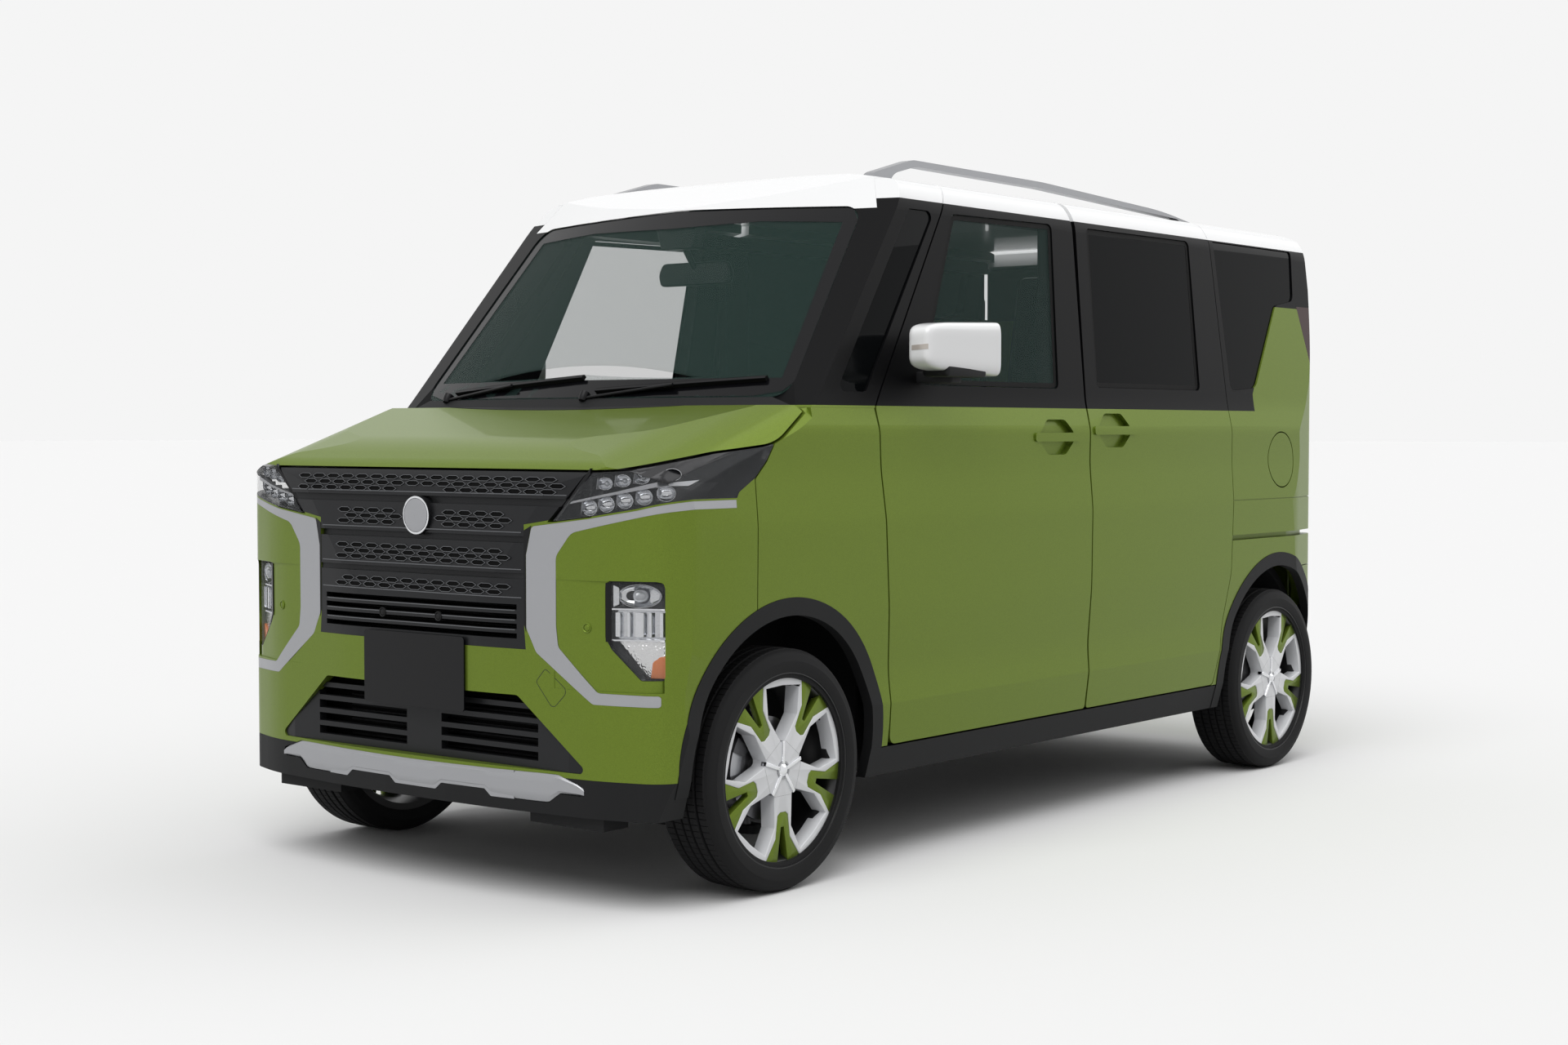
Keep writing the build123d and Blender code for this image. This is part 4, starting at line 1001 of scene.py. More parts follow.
class KEI_OT_wheels(bpy.types.Operator):
    """Five-spoke wheels with green forks, and their tyres"""

    bl_idname = "kei.wheels"
    bl_label = "Wheels and tyres"

    def execute(self, context):
        forks = join([wheel_fork(SECTOR * (i + 0.5)) for i in range(5)], "forks")
        barrel = lathe_piece("barrel", BARREL, Finish.wheel_black, 96)
        wheel = join([wheel_star(), forks, barrel, *wheel_hub()], "wheel")
        tyre = make_tyre()
        valve = rod_piece("valve", 0.0035, (0.052, 0.06, 0.196), (0.066, 0.064, 0.192), Finish.rubber, 12)
        wheel = join([wheel, valve], "wheel")
        for end in ("f", "r"):
            for side in ("l", "r"):
                name = end + side
                place = Vector((WHEEL_X if side == "l" else -WHEEL_X, AXLE_Y[end], TYRE_R))
                for source, node in ((wheel, "rim_" + name), (tyre, "tyre_" + name)):
                    piece = placed_copy(source, "wheel_" + node, place, 0 if side == "l" else math.pi)
                    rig.ride(piece, "wheel_" + name)
                    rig.replaces(piece, node)
        remove_objects([wheel, tyre])
        return {"FINISHED"}


# ---------------------------------------------------------------- brakes
BRAKE_X = 0.655
DISC = ((0.060, 0.006), (0.122, 0.006), (0.122, -0.006), (0.070, -0.006), (0.066, -0.018), (0.060, -0.018))
DRUM = (
    (0.030, 0.010), (0.098, 0.008), (0.104, 0.002), (0.104, -0.010), (0.110, -0.012), (0.110, -0.030),
    (0.030, -0.030),
)
# inner and outer radius, start and end angle, x from and to
CALIPER = (0.088, 0.134, -0.5, 0.5, -0.016, 0.0135)
BRIDGE = (0.098, 0.137, -0.22, 0.22, -0.030, 0.0150)
CALIPER_TURN = math.radians(-80)


class KEI_OT_brakes(bpy.types.Operator):
    """Front discs with calipers and rear drums, seen through the wheels"""

    bl_idname = "kei.brakes"
    bl_label = "Brakes"

    def execute(self, context):
        for side, sign in (("l", 1), ("r", -1)):
            turn = 0 if sign > 0 else math.pi
            front, rear = (Vector((sign * BRAKE_X, AXLE_Y[end], TYRE_R)) for end in ("f", "r"))
            disc = lathe_piece("disc", DISC, Finish.steel, 64)
            disc = placed(disc, front, turn, "brake_disc_" + side)
            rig.ride(disc, "wheel_f" + side)
            drum = lathe_piece("drum", DRUM, Finish.cast, 64)
            drum = placed(drum, rear, turn, "brake_drum_" + side)
            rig.ride(drum, "wheel_r" + side)
            body = arc_block("caliper", *CALIPER, Finish.cast)
            bridge = arc_block("caliper_bridge", *BRIDGE, Finish.silver)
            caliper = turned(join([body, bridge], "caliper"), CALIPER_TURN * sign)
            caliper = placed(caliper, front, turn, "brake_caliper_" + side)
            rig.ride(caliper, "knuckle_left" if sign > 0 else "knuckle_right")
        return {"FINISHED"}


# ---------------------------------------------------------------- grille
BARS = ((0.931, 0.976), (0.845, 0.902), (0.761, 0.817), (0.697, 0.736))  # lower and upper edge of each bar
CELL = (0.0505, 0.0128)  # width and height of one honeycomb cell
CELL_STEP = (0.0528, 0.0135)  # along a row, and from row to row
CELL_RIM = 0.0013
CELL_PROUD = 0.0022
CELL_FLOOR = 0.0004  # how far a cell's floor, dark with painted shade, stands off the bar
BAR_END = 0.040  # plain length at each end of a bar
BAR_MARGIN = 0.004  # height of a bar that its rows leave free
BAR_REACH = 0.350  # half the grille's width up to the bumper's lip
# height from which the grille is wider; a height above it and the half width there
LIP = (0.868, 0.877, 0.427)
BOSS_CLEAR = 0.062
BOSS_PLACE = (0.0, 0.879)
BOSS_DOME = (
    (0.0005, -0.0045), (0.020, -0.0040), (0.036, -0.0026), (0.0395, -0.0010), (0.0395, 0.003),
    (0.0005, 0.003),
)
BOSS_RING = ((0.0405, 0.003), (0.0405, -0.0012), (0.0425, -0.0020), (0.0450, -0.0008), (0.0450, 0.003))
EDGE_STEPS = 24
SLAT_TOPS = (0.6252, 0.6472, 0.6692)
SLAT_REACH = 0.325
SIDE_FILLET = (  # inner and outer edge of the black strips beside the grille
    ((0.3508, 0.622), (0.3508, 0.797), (0.3508, 0.864)),
    ((0.3574, 0.622), (0.3574, 0.797), (0.3735, 0.864)),
)
DUCTS = (  # walls of painted shade behind the slats: low and high corner
    ("upper_duct_shade", (-0.560, -1.600, 0.560), (0.560, -1.594, 0.860)),
    ("lower_duct_shade", (-0.560, -1.598, 0.300), (0.560, -1.592, 0.500)),
)
FIN_FIELDS = ((0.598, 0.695, 0.335), (0.326, 0.466, 0.330))  # lowest fin, upper end, half width
FIN_STEP = 0.012
FIN_HEIGHT = 0.005
FIN_Y = (-1.6035, -1.6000)
SENSOR_X = (-0.114, 0.080)
SENSOR_Z = 0.645
SENSOR_COLLAR = ((0.0082, 0.002), (0.0082, -0.0014), (0.0094, -0.0024), (0.0114, -0.0016), (0.0114, 0.002))
SENSOR_FACE = ((0.0003, -0.0018), (0.0060, -0.0016), (0.0072, -0.0008), (0.0072, 0.002), (0.0003, 0.002))


def hexagon(width, height):
    """A cell that is wider than it is high."""
    a, b = width / 2, height / 2
    return [(a, 0), (a * 0.5, b), (-a * 0.5, b), (-a, 0), (-a * 0.5, -b), (a * 0.5, -b)]


def honeycomb_cell():
    """A raised six-sided rim in a lighter painted highlight, round an opening darkened with painted shade, facing
    forwards.
    """
    cell = outline_piece("cell", hexagon(*CELL), 0.001, -CELL_PROUD, Finish.grille_edge)
    # The second material is the painted shade inside the cell's hole.
    cell.data.materials.append(Finish.void)
    select_only(cell)
    with edit_mode("DESELECT"):
        mesh = bmesh.from_edit_mesh(cell.data)
        for face in mesh.faces:
            if face.normal.y < -0.9:
                face.select_set(True)
        bmesh.update_edit_mesh(cell.data)
        bpy.ops.mesh.inset(thickness=CELL_RIM, depth=0)
        bpy.ops.mesh.extrude_region_move(TRANSFORM_OT_translate={"value": (0, CELL_PROUD - CELL_FLOOR, 0)})
    # Inner walls and floor of the cell take the painted shade; the rim keeps the painted highlight.
    for face in cell.data.polygons:
        inwards = face.normal.x * face.center.x + face.normal.z * face.center.z < -1e-7
        floor = face.normal.y < -0.9 and face.center.y > -CELL_PROUD / 2
        face.material_index = 1 if inwards or floor else 0
    return cell


def bar_reach(z):
    """Half the grille's width at a height."""
    lip_z, wide_z, wide = LIP
    return BAR_REACH if z < lip_z else wide + (z - wide_z)


def in_boss(x, z):
    return abs(x - BOSS_PLACE[0]) < BOSS_CLEAR and abs(z - BOSS_PLACE[1]) < BOSS_CLEAR


class KEI_OT_grille(bpy.types.Operator):
    """Honeycomb cells in the grille's four bars, a turned boss and two distance sensors"""

    bl_idname = "kei.grille"
    bl_label = "Grille"

    def execute(self, context):
        grille = NODES["grilles"]
        cell = honeycomb_cell()
        cells = []
        for low, high in BARS:
            rows = int((high - low - BAR_MARGIN) / CELL_STEP[1])
            for row in range(rows):
                z = (low + high) / 2 + (row - (rows - 1) / 2) * CELL_STEP[1]
                count = int((bar_reach(low) - BAR_END) / CELL_STEP[0])
                shift = CELL_STEP[0] / 2 if row % 2 else 0.0
                for i in range(-count, count + 1):
                    x = i * CELL_STEP[0] + shift
                    if not in_boss(x, z):
                        twin = placed_copy(cell, "cell", Vector())
                        cells.append(on_surface(twin, grille, "front", x, z))
        remove_objects([cell])
        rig.ride(join(cells, "grille_cells"), "body")
        self.liner()
        self.bar_edges(grille)
        self.boss(grille)
        self.sensors(grille)
        return {"FINISHED"}

    def liner(self):
        """Duct walls of painted shade and a ribbed radiator face behind the slats."""
        # The duct boxes are painted shade that darkens the openings behind the slats.
        parts = [box_piece(name, low, high, Finish.void, 0.001, 1) for name, low, high in DUCTS]
        front, back = FIN_Y
        for low, high, half in FIN_FIELDS:
            for i in range(int((high - low) / FIN_STEP)):
                z = low + i * FIN_STEP
                corners = (-half, front, z), (half, back, z + FIN_HEIGHT)
                parts.append(box_piece("fin", *corners, Finish.chassis, 0.0008, 1))
        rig.ride(join(parts, "radiator_face"), "body")

    def bar_edges(self, grille):
        """Painted highlights: a bright line along the foot of each bar, and thin lines on the slats."""
        lines = []
        # Painted highlight along the foot of each bar.
        for low, _ in BARS:
            reach = bar_reach(low) - 0.006
            foot = low + 0.0015
            edges = level_strip(-reach, reach, foot, foot + 0.0022)
            lines.append(
                ribbon("bar_edge", grille, "front", edges, EDGE_STEPS, 0.0008, 0.0012, Finish.grille_edge)
            )
        # Painted highlight along the top of each slat.
        for low in SLAT_TOPS:
            edges = level_strip(-SLAT_REACH, SLAT_REACH, low, low + 0.002)
            lines.append(
                ribbon("slat_edge", grille, "front", edges, EDGE_STEPS, 0.0006, 0.001, Finish.grille_edge)
            )
        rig.ride(join(lines, "grille_bar_edges"), "body")
        bumper = NODES["front_bumper"]
        fillets = []
        for sign in (1, -1):
            edges = [[(sign * x, z) for x, z in edge] for edge in SIDE_FILLET]
            fillets.append(
                ribbon("fillet", bumper, "front", edges, EDGE_STEPS, 0.0006, 0.001, Finish.gloss_black)
            )
        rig.ride(join(fillets, "grille_side_fillets"), "body")

    def boss(self, grille):
        """The plain round boss gets a stepped rim and a domed face."""
        dome = lathe_piece("boss_dome", BOSS_DOME, Finish.silver, 48)
        ring = lathe_piece("boss_ring", BOSS_RING, Finish.chrome, 48)
        boss = join([dome, ring], "grille_boss")
        boss.data.transform(TO_THE_FRONT)
        on_surface(boss, grille, "front", *BOSS_PLACE)
        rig.ride(boss, "body")

    def sensors(self, grille):
        pieces = []
        for x in SENSOR_X:
            pieces.append(on_surface(sensor(Finish.trim), grille, "front", x, SENSOR_Z))
        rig.ride(join(pieces, "grille_sensors"), "body")


def sensor(material):
    """A round distance sensor: collar, gap and face."""
    collar = lathe_piece("sensor", SENSOR_COLLAR, material, 28)
    face = lathe_piece("sensor_face", SENSOR_FACE, material, 24)
    piece = join([collar, face], "sensor")
    piece.data.transform(TO_THE_FRONT)
    return piece


# ---------------------------------------------------------------- lamps
LAMP_SIDE_X = 0.705  # from here outwards a lens wraps round to the body's side
LOWER_ROW = ((0.496, 0.902), (0.716, 0.944))  # headlamp's rows of reflectors: start and end, x and z
UPPER_ROW = ((0.540, 0.957), (0.712, 0.984))
LOWER_SIZE = (0.042, 0.034)
UPPER_SIZE = (0.040, 0.026)
BOWL_DEPTH = 0.020
BOWL_TURN = 0.6  # share of the lens's turn that a reflector follows
BEAD_SHARE = 0.22  # a bead's radius, as a share of its reflector's height
BEAD_SECTION = (  # radius and x, as shares of the bead's radius
    (0.5, -0.75), (0.86, -0.4), (1, 0), (1.12, 0), (1.12, 0.5),
)
DIVIDER = ((0.474, 0.916), (0.600, 0.940), (0.722, 0.966))
DIVIDER_HALF = (0.0022, 0.0030, 0.0062)  # half height at each of those places
INNER_END_X = 0.5403
# the lens's inner corner, which lies in the bumper's skin
TIP = ((0.436, 0.875), (0.542, 0.888), (0.542, 0.983))
TIP_PROBE = (0.50, 0.92)  # where the tip's depth is read off the skin
TIP_WALLS = (0.003, 0.046)  # front and back of the tip's walls, behind the skin
TIP_CUT = ((0.4185, 0.8725), (0.4360, 0.8730), (0.5420, 0.8860), (0.5600, 1.0060), (0.5490, 1.0060))
# black strip next to the grille
TIP_EDGE = ((0.4262, 0.8772), (0.4400, 0.8775), (0.5425, 0.9822), (0.5425, 0.9945))
STAGES = (0.742, 0.684, 0.615, 0.531)  # heights between the bumper lamp's three stages
STAGE_X = (0.588, 0.697)
STAGE_FOOT = 0.657  # where the lowest stage's slanted side ends
STAGE_PROBE = (0.01, 0.66)  # how far from each side, and at what height, the lamp's depth is read
RIB_HALVES = (0.005, 0.003, 0.009, 0.003, 0.004)
RIB_STEP = 0.0225
PROJECTOR = ((0.055, 0.008), (0.088, 0.050), 0.018)  # reflector: across and depth, size, how deep
PROJECTOR_BEAD = ((0.052, 0.012), 0.0125)


def is_lens(face):
    """Outer faces of a lamp: those that look forwards, and the wrapped end that looks sideways."""
    centre, normal = face.calc_center_median(), face.normal
    sideways = normal.x * centre.x > 0.35 and abs(centre.x) > LAMP_SIDE_X
    return abs(normal.z) < 0.6 and (normal.y < -0.3 or sideways)


def is_inner_end(face):
    """The flat end towards the grille, which the lamp's inner corner continues."""
    centre, normal = face.calc_center_median(), face.normal
    return abs(abs(centre.x) - INNER_END_X) < 0.002 and abs(normal.x) > 0.9


def bowl(place, size, depth, aim):
    """A reflector: half an egg that opens forwards, with a thin wall."""
    deselect_all()
    bpy.ops.mesh.primitive_uv_sphere_add(segments=28, ring_count=14, radius=1)
    dish = bpy.context.object
    with edit_mode():
        bpy.ops.mesh.bisect(plane_co=(0, 0, 0), plane_no=(0, -1, 0), clear_outer=True)
    dish.scale = (size[0] / 2, depth, size[1] / 2)
    settle(dish, "bowl", Finish.reflector)
    turn_faces(dish)
    thicken(dish, 0.0008)
    bpy.ops.object.shade_smooth_by_angle(angle=0.6)
    return placed(dish, place, aim, "bowl")


def bead(place, radius, aim):
    """A clear lens in front of a light source: a dome on a short collar."""
    shell = [(radius * across, radius * along) for across, along in BEAD_SECTION]
    section = [(0.0002, -radius * 0.9), *shell, (0.0002, radius * 0.5)]
    dome = lathe_piece("bead", section, Finish.bead, 24)
    dome.data.transform(TO_THE_FRONT)
    return placed(dome, place, aim, "bead")


def lamp_row(row, count, size, depth, beads, lamps):
    """Reflectors between two places in front view, set back behind the lens and turned with it."""
    (x0, z0), (x1, z1) = row
    pieces = []
    for i in range(count):
        t = (i + 0.5) / count
        x, z = x0 + (x1 - x0) * t, z0 + (z1 - z0) * t
        point, normal = surface(lamps, "front", x, z)
        aim = math.atan2(normal.x, -normal.y) * BOWL_TURN
        place = point + Vector((0, depth, 0))
        pieces.append(bowl(place, size, BOWL_DEPTH, aim))
        if beads:
            pieces.append(bead(place + Vector((0, 0.006, 0)), size[1] * BEAD_SHARE, aim))
        left, low, high = x - size[0] / 2, z - size[1] / 2, z + size[1] / 2
        outline = [(left - 0.0012, low), (left, low), (left + 0.004, high), (left + 0.0028, high)]
        near, far = place.y - 0.006, place.y + 0.010
        pieces.append(outline_piece("fin", outline, near, far, Finish.silver, "y", 0.0004, 1))
    return pieces


def divider(lamps):
    """Silver bar that rises from the inner corner to the outer end and widens on the way."""
    low, high = ([(x, z + way * h) for (x, z), h in zip(DIVIDER, DIVIDER_HALF)] for way in (-1, 1))
    return ribbon("divider", lamps, "front", (low, high), 8, -0.007, 0.010, Finish.silver)


class KEI_OT_lamps(bpy.types.Operator):
    """Clear lenses over dark housings, with the headlamps' reflectors and the bumper lamps' stages"""

    bl_idname = "kei.lamps"
    bl_label = "Headlamps and bumper lamps"

    def execute(self, context):
        lamps = (NODES["front_lamps"], NODES["front_bumper"])
        housing = copy_of_node("front_lamps", "lamp_housings", Finish.housing)
        remove_objects([split_off(housing, is_inner_end, "inner_ends", Finish.housing)])
        lenses = split_off(housing, is_lens, "lamp_lenses", Finish.lens)
        thicken(lenses, 0.0016)
        bpy.ops.object.shade_smooth_by_angle(angle=0.5)
        thicken(housing, 0.0012)
        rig.ride(housing, "body")
        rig.ride(lenses, "body")
        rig.replaces(housing, "front_lamps")
        self.open_bumper()
        both_sides(self.tip(lamps), "lamp_tips", "body")
        both_sides(self.tip_lens(lamps), "lamp_tip_lenses", "body")
        parts = lamp_row(LOWER_ROW, 5, LOWER_SIZE, 0.024, False, lamps)
        parts += lamp_row(UPPER_ROW, 4, UPPER_SIZE, 0.020, True, lamps)
        parts.append(divider(lamps))
        parts += self.bumper_lamp(lamps)
        both_sides(join(parts, "lamp_inners"), "lamp_inners", "body")
        return {"FINISHED"}

    def open_bumper(self):
        """Lets the headlamps' inner corners into the bumper's skin."""
        bumper = copy_of_node("front_bumper", "front_bumper_skin", Finish.green)
        for sign in (1, -1):
            outline = [(sign * u, v) for u, v in TIP_CUT]
            cutter = outline_piece("cutter", outline, -1.8, -1.5, Finish.housing)
            cut = {"object": cutter, "operation": "DIFFERENCE", "solver": "EXACT"}
            apply_modifier(bumper, "lamp corner", "BOOLEAN", **cut)
            remove_objects([cutter])
        bpy.ops.object.shade_smooth_by_angle(angle=0.35)
        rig.ride(bumper, "body")
        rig.replaces(bumper, "front_bumper")

    def tip(self, lamps):
        """Dark walls and back of the headlamp's inner corner."""
        (u0, v0), (u1, v1), (u2, v2) = TIP
        skin = surface(lamps, "front", *TIP_PROBE)[0].y
        front, back = (skin + depth for depth in TIP_WALLS)
        outline = [(u0, v0), (u1, v1), (u1, v1 + 0.0012), (u0 + 0.006, v0 + 0.002)]
        floor = outline_piece("floor", outline, front, back, Finish.housing)
        slope = outline_piece("slope", TIP_EDGE, front, back, Finish.gloss_black)
        outline = [(u0 + 0.002, v0), (u1, v1), (u2, v2)]
        end = outline_piece("end", outline, back, back + 0.001, Finish.housing)
        return join([floor, slope, end], "lamp_tip")

    def tip_lens(self, lamps):
        (u0, v0), (u1, v1), (u2, v2) = TIP
        lower, upper = ((u0, v0), (u1, v1)), ((u0 + 0.001, v0 + 0.002), (u2, v2))
        return ribbon("tip_lens", lamps, "front", (lower, upper), 10, 0.0, 0.0016, Finish.lens)

    def bumper_lamp(self, lamps):
        """Projector stage, ribbed stage and faceted indicator, one over the other."""
        left, right = STAGE_X
        top, upper, lower, foot = STAGES
        back_low = [(left + 0.008, lower), (STAGE_FOOT, foot), (right, foot), (right, lower)]
        amber = [(0.668, 0.566), (0.664, foot), (right, foot), (right, 0.580), (0.684, 0.580)]
        side = [(left - 0.012, lower - 0.004), (left, lower - 0.002), (left, top), (left - 0.012, top)]
        slant = [
            (left - 0.010, lower), (left + 0.002, lower), (STAGE_FOOT + 0.004, foot),
            (STAGE_FOOT - 0.008, foot),
        ]
        plates = [  # name, outline, front and back behind the lens, finish, rounding of the edges
            ("back_top", rectangle(left, upper, right, top), 0.026, 0.030, Finish.housing, 0.001),
            ("back_middle", rectangle(left, lower, right, upper), 0.018, 0.024, Finish.reflector, 0.003),
            ("back_low", back_low, 0.012, 0.020, Finish.facets, 0.002),
            ("amber", amber, 0.008, 0.013, Finish.amber, 0.003),
            ("frame_side", side, 0.001, 0.030, Finish.gloss_black, 0.001),
            ("frame_slant", slant, 0.001, 0.024, Finish.gloss_black, 0.001),
        ]
        for height in (upper, lower):
            ledge = rectangle(left, height - 0.002, right, height + 0.002)
            plates.append(("ledge", ledge, 0.003, 0.024, Finish.chrome, 0.0008))
        for i, half in enumerate(RIB_HALVES):
            x = left + 0.010 + i * RIB_STEP
            rib = rectangle(x - half, lower + 0.007, x + half, upper - 0.007)
            plates.append(("rib", rib, 0.006, 0.020, Finish.chrome, 0.0022))
        parts = [outline_piece(*plate, "y", bevel) for *plate, bevel in plates]
        (across, depth), size, deep = PROJECTOR
        parts.append(bowl(Vector((left + across, depth, (top + upper) / 2)), size, deep, 0))
        (across, depth), radius = PROJECTOR_BEAD
        parts.append(bead(Vector((left + across, depth, (top + upper) / 2)), radius, 0))
        inner, outer = left + 0.002, left + 0.014
        flank = [(inner, upper + 0.004), (outer, upper + 0.010), (outer, top - 0.010), (inner, top - 0.004)]
        parts.append(outline_piece("flank", flank, 0.004, 0.016, Finish.reflector, "y", 0.002))
        self.set_back(parts, lamps)
        return parts

    def set_back(self, parts, lamps):
        """Moves the stages from y = 0 to behind the bumper lamp's lens, along its slant."""
        left, right = STAGE_X
        margin, height = STAGE_PROBE
        inner = surface(lamps, "front", left + margin, height)[0].y
        outer = surface(lamps, "front", right - margin, height)[0].y
        lean = (outer - inner) / (right - left - 2 * margin)
        for piece in parts:
            for vertex in piece.data.vertices:
                vertex.co.y += inner + (vertex.co.x - left - margin) * lean


# ---------------------------------------------------------------- windows
SCREEN_OUTLINE = (
    (0.636, 1.161), (0.562, 1.643), (0.300, 1.656), (0.0, 1.660), (-0.300, 1.656), (-0.562, 1.643),
    (-0.636, 1.161),
)
SCREEN_INNER = (
    (0.594, 1.205), (0.530, 1.604), (0.300, 1.617), (0.0, 1.612), (-0.300, 1.617), (-0.530, 1.604),
    (-0.594, 1.205),
)
FRONT_PANE = ((-0.637, 1.194), (-0.418, 1.638), (0.064, 1.646), (0.018, 1.194))  # y, z
SLIDING_PANE = ((0.224, 1.200), (0.252, 1.648), (0.844, 1.650), (0.826, 1.200))
PANE_CORNER = 0.018
SEAL = (0.013, 3, 0.0006, 0.0016)  # width, steps between corners, lift, thickness


class KEI_OT_windows(bpy.types.Operator):
    """Black printed edge of the windscreen, and rubber seals round the side windows"""

    bl_idname = "kei.windows"
    bl_label = "Window edges"

    def execute(self, context):
        screen = NODES["windscreen"]
        edges = [[*outline, outline[0]] for outline in (SCREEN_OUTLINE, SCREEN_INNER)]
        edge = ribbon("screen_edge", screen, "front", edges, 14, 0.0004, 0.0008, Finish.gloss_black)
        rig.ride(edge, "body")
        pane = rounded(FRONT_PANE, PANE_CORNER)
        for side in ("left", "right"):
            seal = ring_on(
                "front_seal_" + side, NODES["door_glass_" + side], side, pane, *SEAL, Finish.rubber
            )
            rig.ride(seal, "front_door_" + side)
        pane = rounded(SLIDING_PANE, PANE_CORNER)
        seal = ring_on("sliding_seal", NODES["side_glass"], "left", pane, *SEAL, Finish.rubber)
        both_sides(seal, "sliding_seal", "body")
        return {"FINISHED"}


# ---------------------------------------------------------------- mirrors
MIRROR_LOW = (0.758, -0.785, 1.210)
MIRROR_HIGH = (0.8535, -0.390, 1.355)
MIRROR_NARROW = (0.84, 0.78)  # width and height of the shell's front, as shares of the rear
MIRROR_RISE = 0.002
MIRROR_CUT = -0.486  # where the shell is cut square for its glass
MIRROR_BASE = ((0.766, -0.712, 1.2105), (0.846, -0.540, 1.240))
MIRROR_FOOT = (
    (0.712, -0.664), (0.775, -0.652), (0.802, -0.634), (0.802, -0.588), (0.775, -0.584), (0.712, -0.606)
)
MIRROR_BEZEL = (0.767, 1.226, 0.845, 1.340)
MIRROR_GLASS = (0.772, 1.231, 0.840, 1.335)
MIRROR_STRIP = (((0.788, 1.274), (0.834, 1.276)), ((0.788, 1.286), (0.834, 1.289)))


class KEI_OT_mirrors(bpy.types.Operator):
    """White shells on black feet, with an indicator strip and a mirror glass"""

    bl_idname = "kei.mirrors"
    bl_label = "Door mirrors"

    def execute(self, context):
        shell = self.shell()
        base = box_piece("base", *MIRROR_BASE, Finish.trim, 0.009, 4)
        foot = outline_piece("foot", MIRROR_FOOT, 1.196, 1.226, Finish.trim, "z", 0.006, 3)
        outline = rounded(rectangle(*MIRROR_BEZEL), 0.032)
        bezel = outline_piece("bezel", outline, -0.494, -0.4845, Finish.gloss_black, "y", 0.0015)
        outline = rounded(rectangle(*MIRROR_GLASS), 0.028)
        glass = outline_piece("glass", outline, -0.490, -0.4835, Finish.mirror, "y", 0.001)
        strip = ribbon("strip", shell, "front", MIRROR_STRIP, 10, 0.0006, 0.0012, Finish.clear_strip)
        mirror = join([shell, base, foot, bezel, glass, strip], "mirror")
        mirror.name = "door_mirror_left"
        twin = copy_mirrored(mirror, "door_mirror_right")
        for piece, side in ((mirror, "left"), (twin, "right")):
            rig.ride(piece, "front_door_" + side)
            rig.replaces(piece, "mirror_" + side)
        return {"FINISHED"}

    def shell(self):
        """A rounded housing that narrows towards the front."""
        deselect_all()
        low, high = Vector(MIRROR_LOW), Vector(MIRROR_HIGH)
        middle = (low + high) / 2
        bpy.ops.mesh.primitive_cube_add(size=1, location=middle)
        shell = bpy.context.object
        shell.scale = high - low
        settle(shell, "shell", Finish.white)
        for vertex in shell.data.vertices:
            if vertex.co.y < middle.y:
                vertex.co.x = middle.x + (vertex.co.x - middle.x) * MIRROR_NARROW[0]
                vertex.co.z = middle.z + MIRROR_RISE + (vertex.co.z - middle.z) * MIRROR_NARROW[1]
        select_only(shell)
        with edit_mode():
            bpy.ops.mesh.subdivide(number_cuts=2)
        apply_modifier(shell, "round", "SUBSURF", levels=3, render_levels=3)
        with edit_mode():
            bpy.ops.mesh.bisect(
                plane_co=(0, MIRROR_CUT, 0), plane_no=(0, 1, 0), use_fill=True, clear_outer=True
            )
            bpy.ops.mesh.select_all(action="SELECT")
            bpy.ops.mesh.normals_make_consistent(inside=False)
        bpy.ops.object.shade_smooth_by_angle(angle=0.6)
        return shell


# ---------------------------------------------------------------- under plate
SKID_TOP = ((0.0, 0.303), (0.446, 0.306), (0.505, 0.288), (0.521, 0.276))  # right half of the edge: x, z
SKID_FOOT = (
    (0.0, 0.241), (0.066, 0.241), (0.088, 0.257), (0.232, 0.257), (0.252, 0.241), (0.418, 0.241),
    (0.450, 0.263), (0.511, 0.263),
)
NOSE_PLAN = (  # how far the nose falls back: x, y
    (0.0, 0.0), (0.10, 0.0), (0.20, 0.0036), (0.30, 0.0098), (0.38, 0.0170), (0.46, 0.0260), (0.53, 0.0336),
)
SKID_GRID = (104, 6)  # columns and rows
SKID_BAND = (0.243, 0.301)  # heights between which the plate follows the trim's middle
SKID_PROUD = 0.0015
SKID_FOLD = 0.004  # how far the plate's upper and lower edge fold back
SKID_WALL = 0.006


def value_at(points, x):
    """The second coordinate of a run of points at a place along the first."""
    for (x0, v0), (x1, v1) in zip(points, points[1:]):
        if x <= x1:
            return v0 + (v1 - v0) * (x - x0) / (x1 - x0)
    return points[-1][1]


class KEI_OT_skid(bpy.types.Operator):
    """Bright under plate with its raised pads, set in the black lower lip"""

    bl_idname = "kei.skid"
    bl_label = "Under plate"

    def execute(self, context):
        columns, rows = SKID_GRID
        lowest, highest = SKID_BAND
        deselect_all()
        bpy.ops.mesh.primitive_grid_add(x_subdivisions=columns, y_subdivisions=rows, size=1)
        plate = bpy.context.object
        for index, vertex in enumerate(plate.data.vertices):
            row, column = divmod(index, columns + 1)
            x = (column / columns * 2 - 1) * SKID_TOP[-1][0]
            low, high = value_at(SKID_FOOT, abs(x)), value_at(SKID_TOP, abs(x))
            z = low + (high - low) * row / rows
            front = surface(NODES["silver_trim"], "front", 0.0, min(max(z, lowest), highest))[0].y
            fold = SKID_FOLD if row in (0, rows) else 0.0
            vertex.co = Vector((x, front + value_at(NOSE_PLAN, abs(x)) - SKID_PROUD + fold, z))
        settle(plate, "under_plate", Finish.silver)
        thicken(plate, SKID_WALL)
        bpy.ops.object.shade_smooth_by_angle(angle=0.4)
        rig.ride(plate, "body")
        return {"FINISHED"}


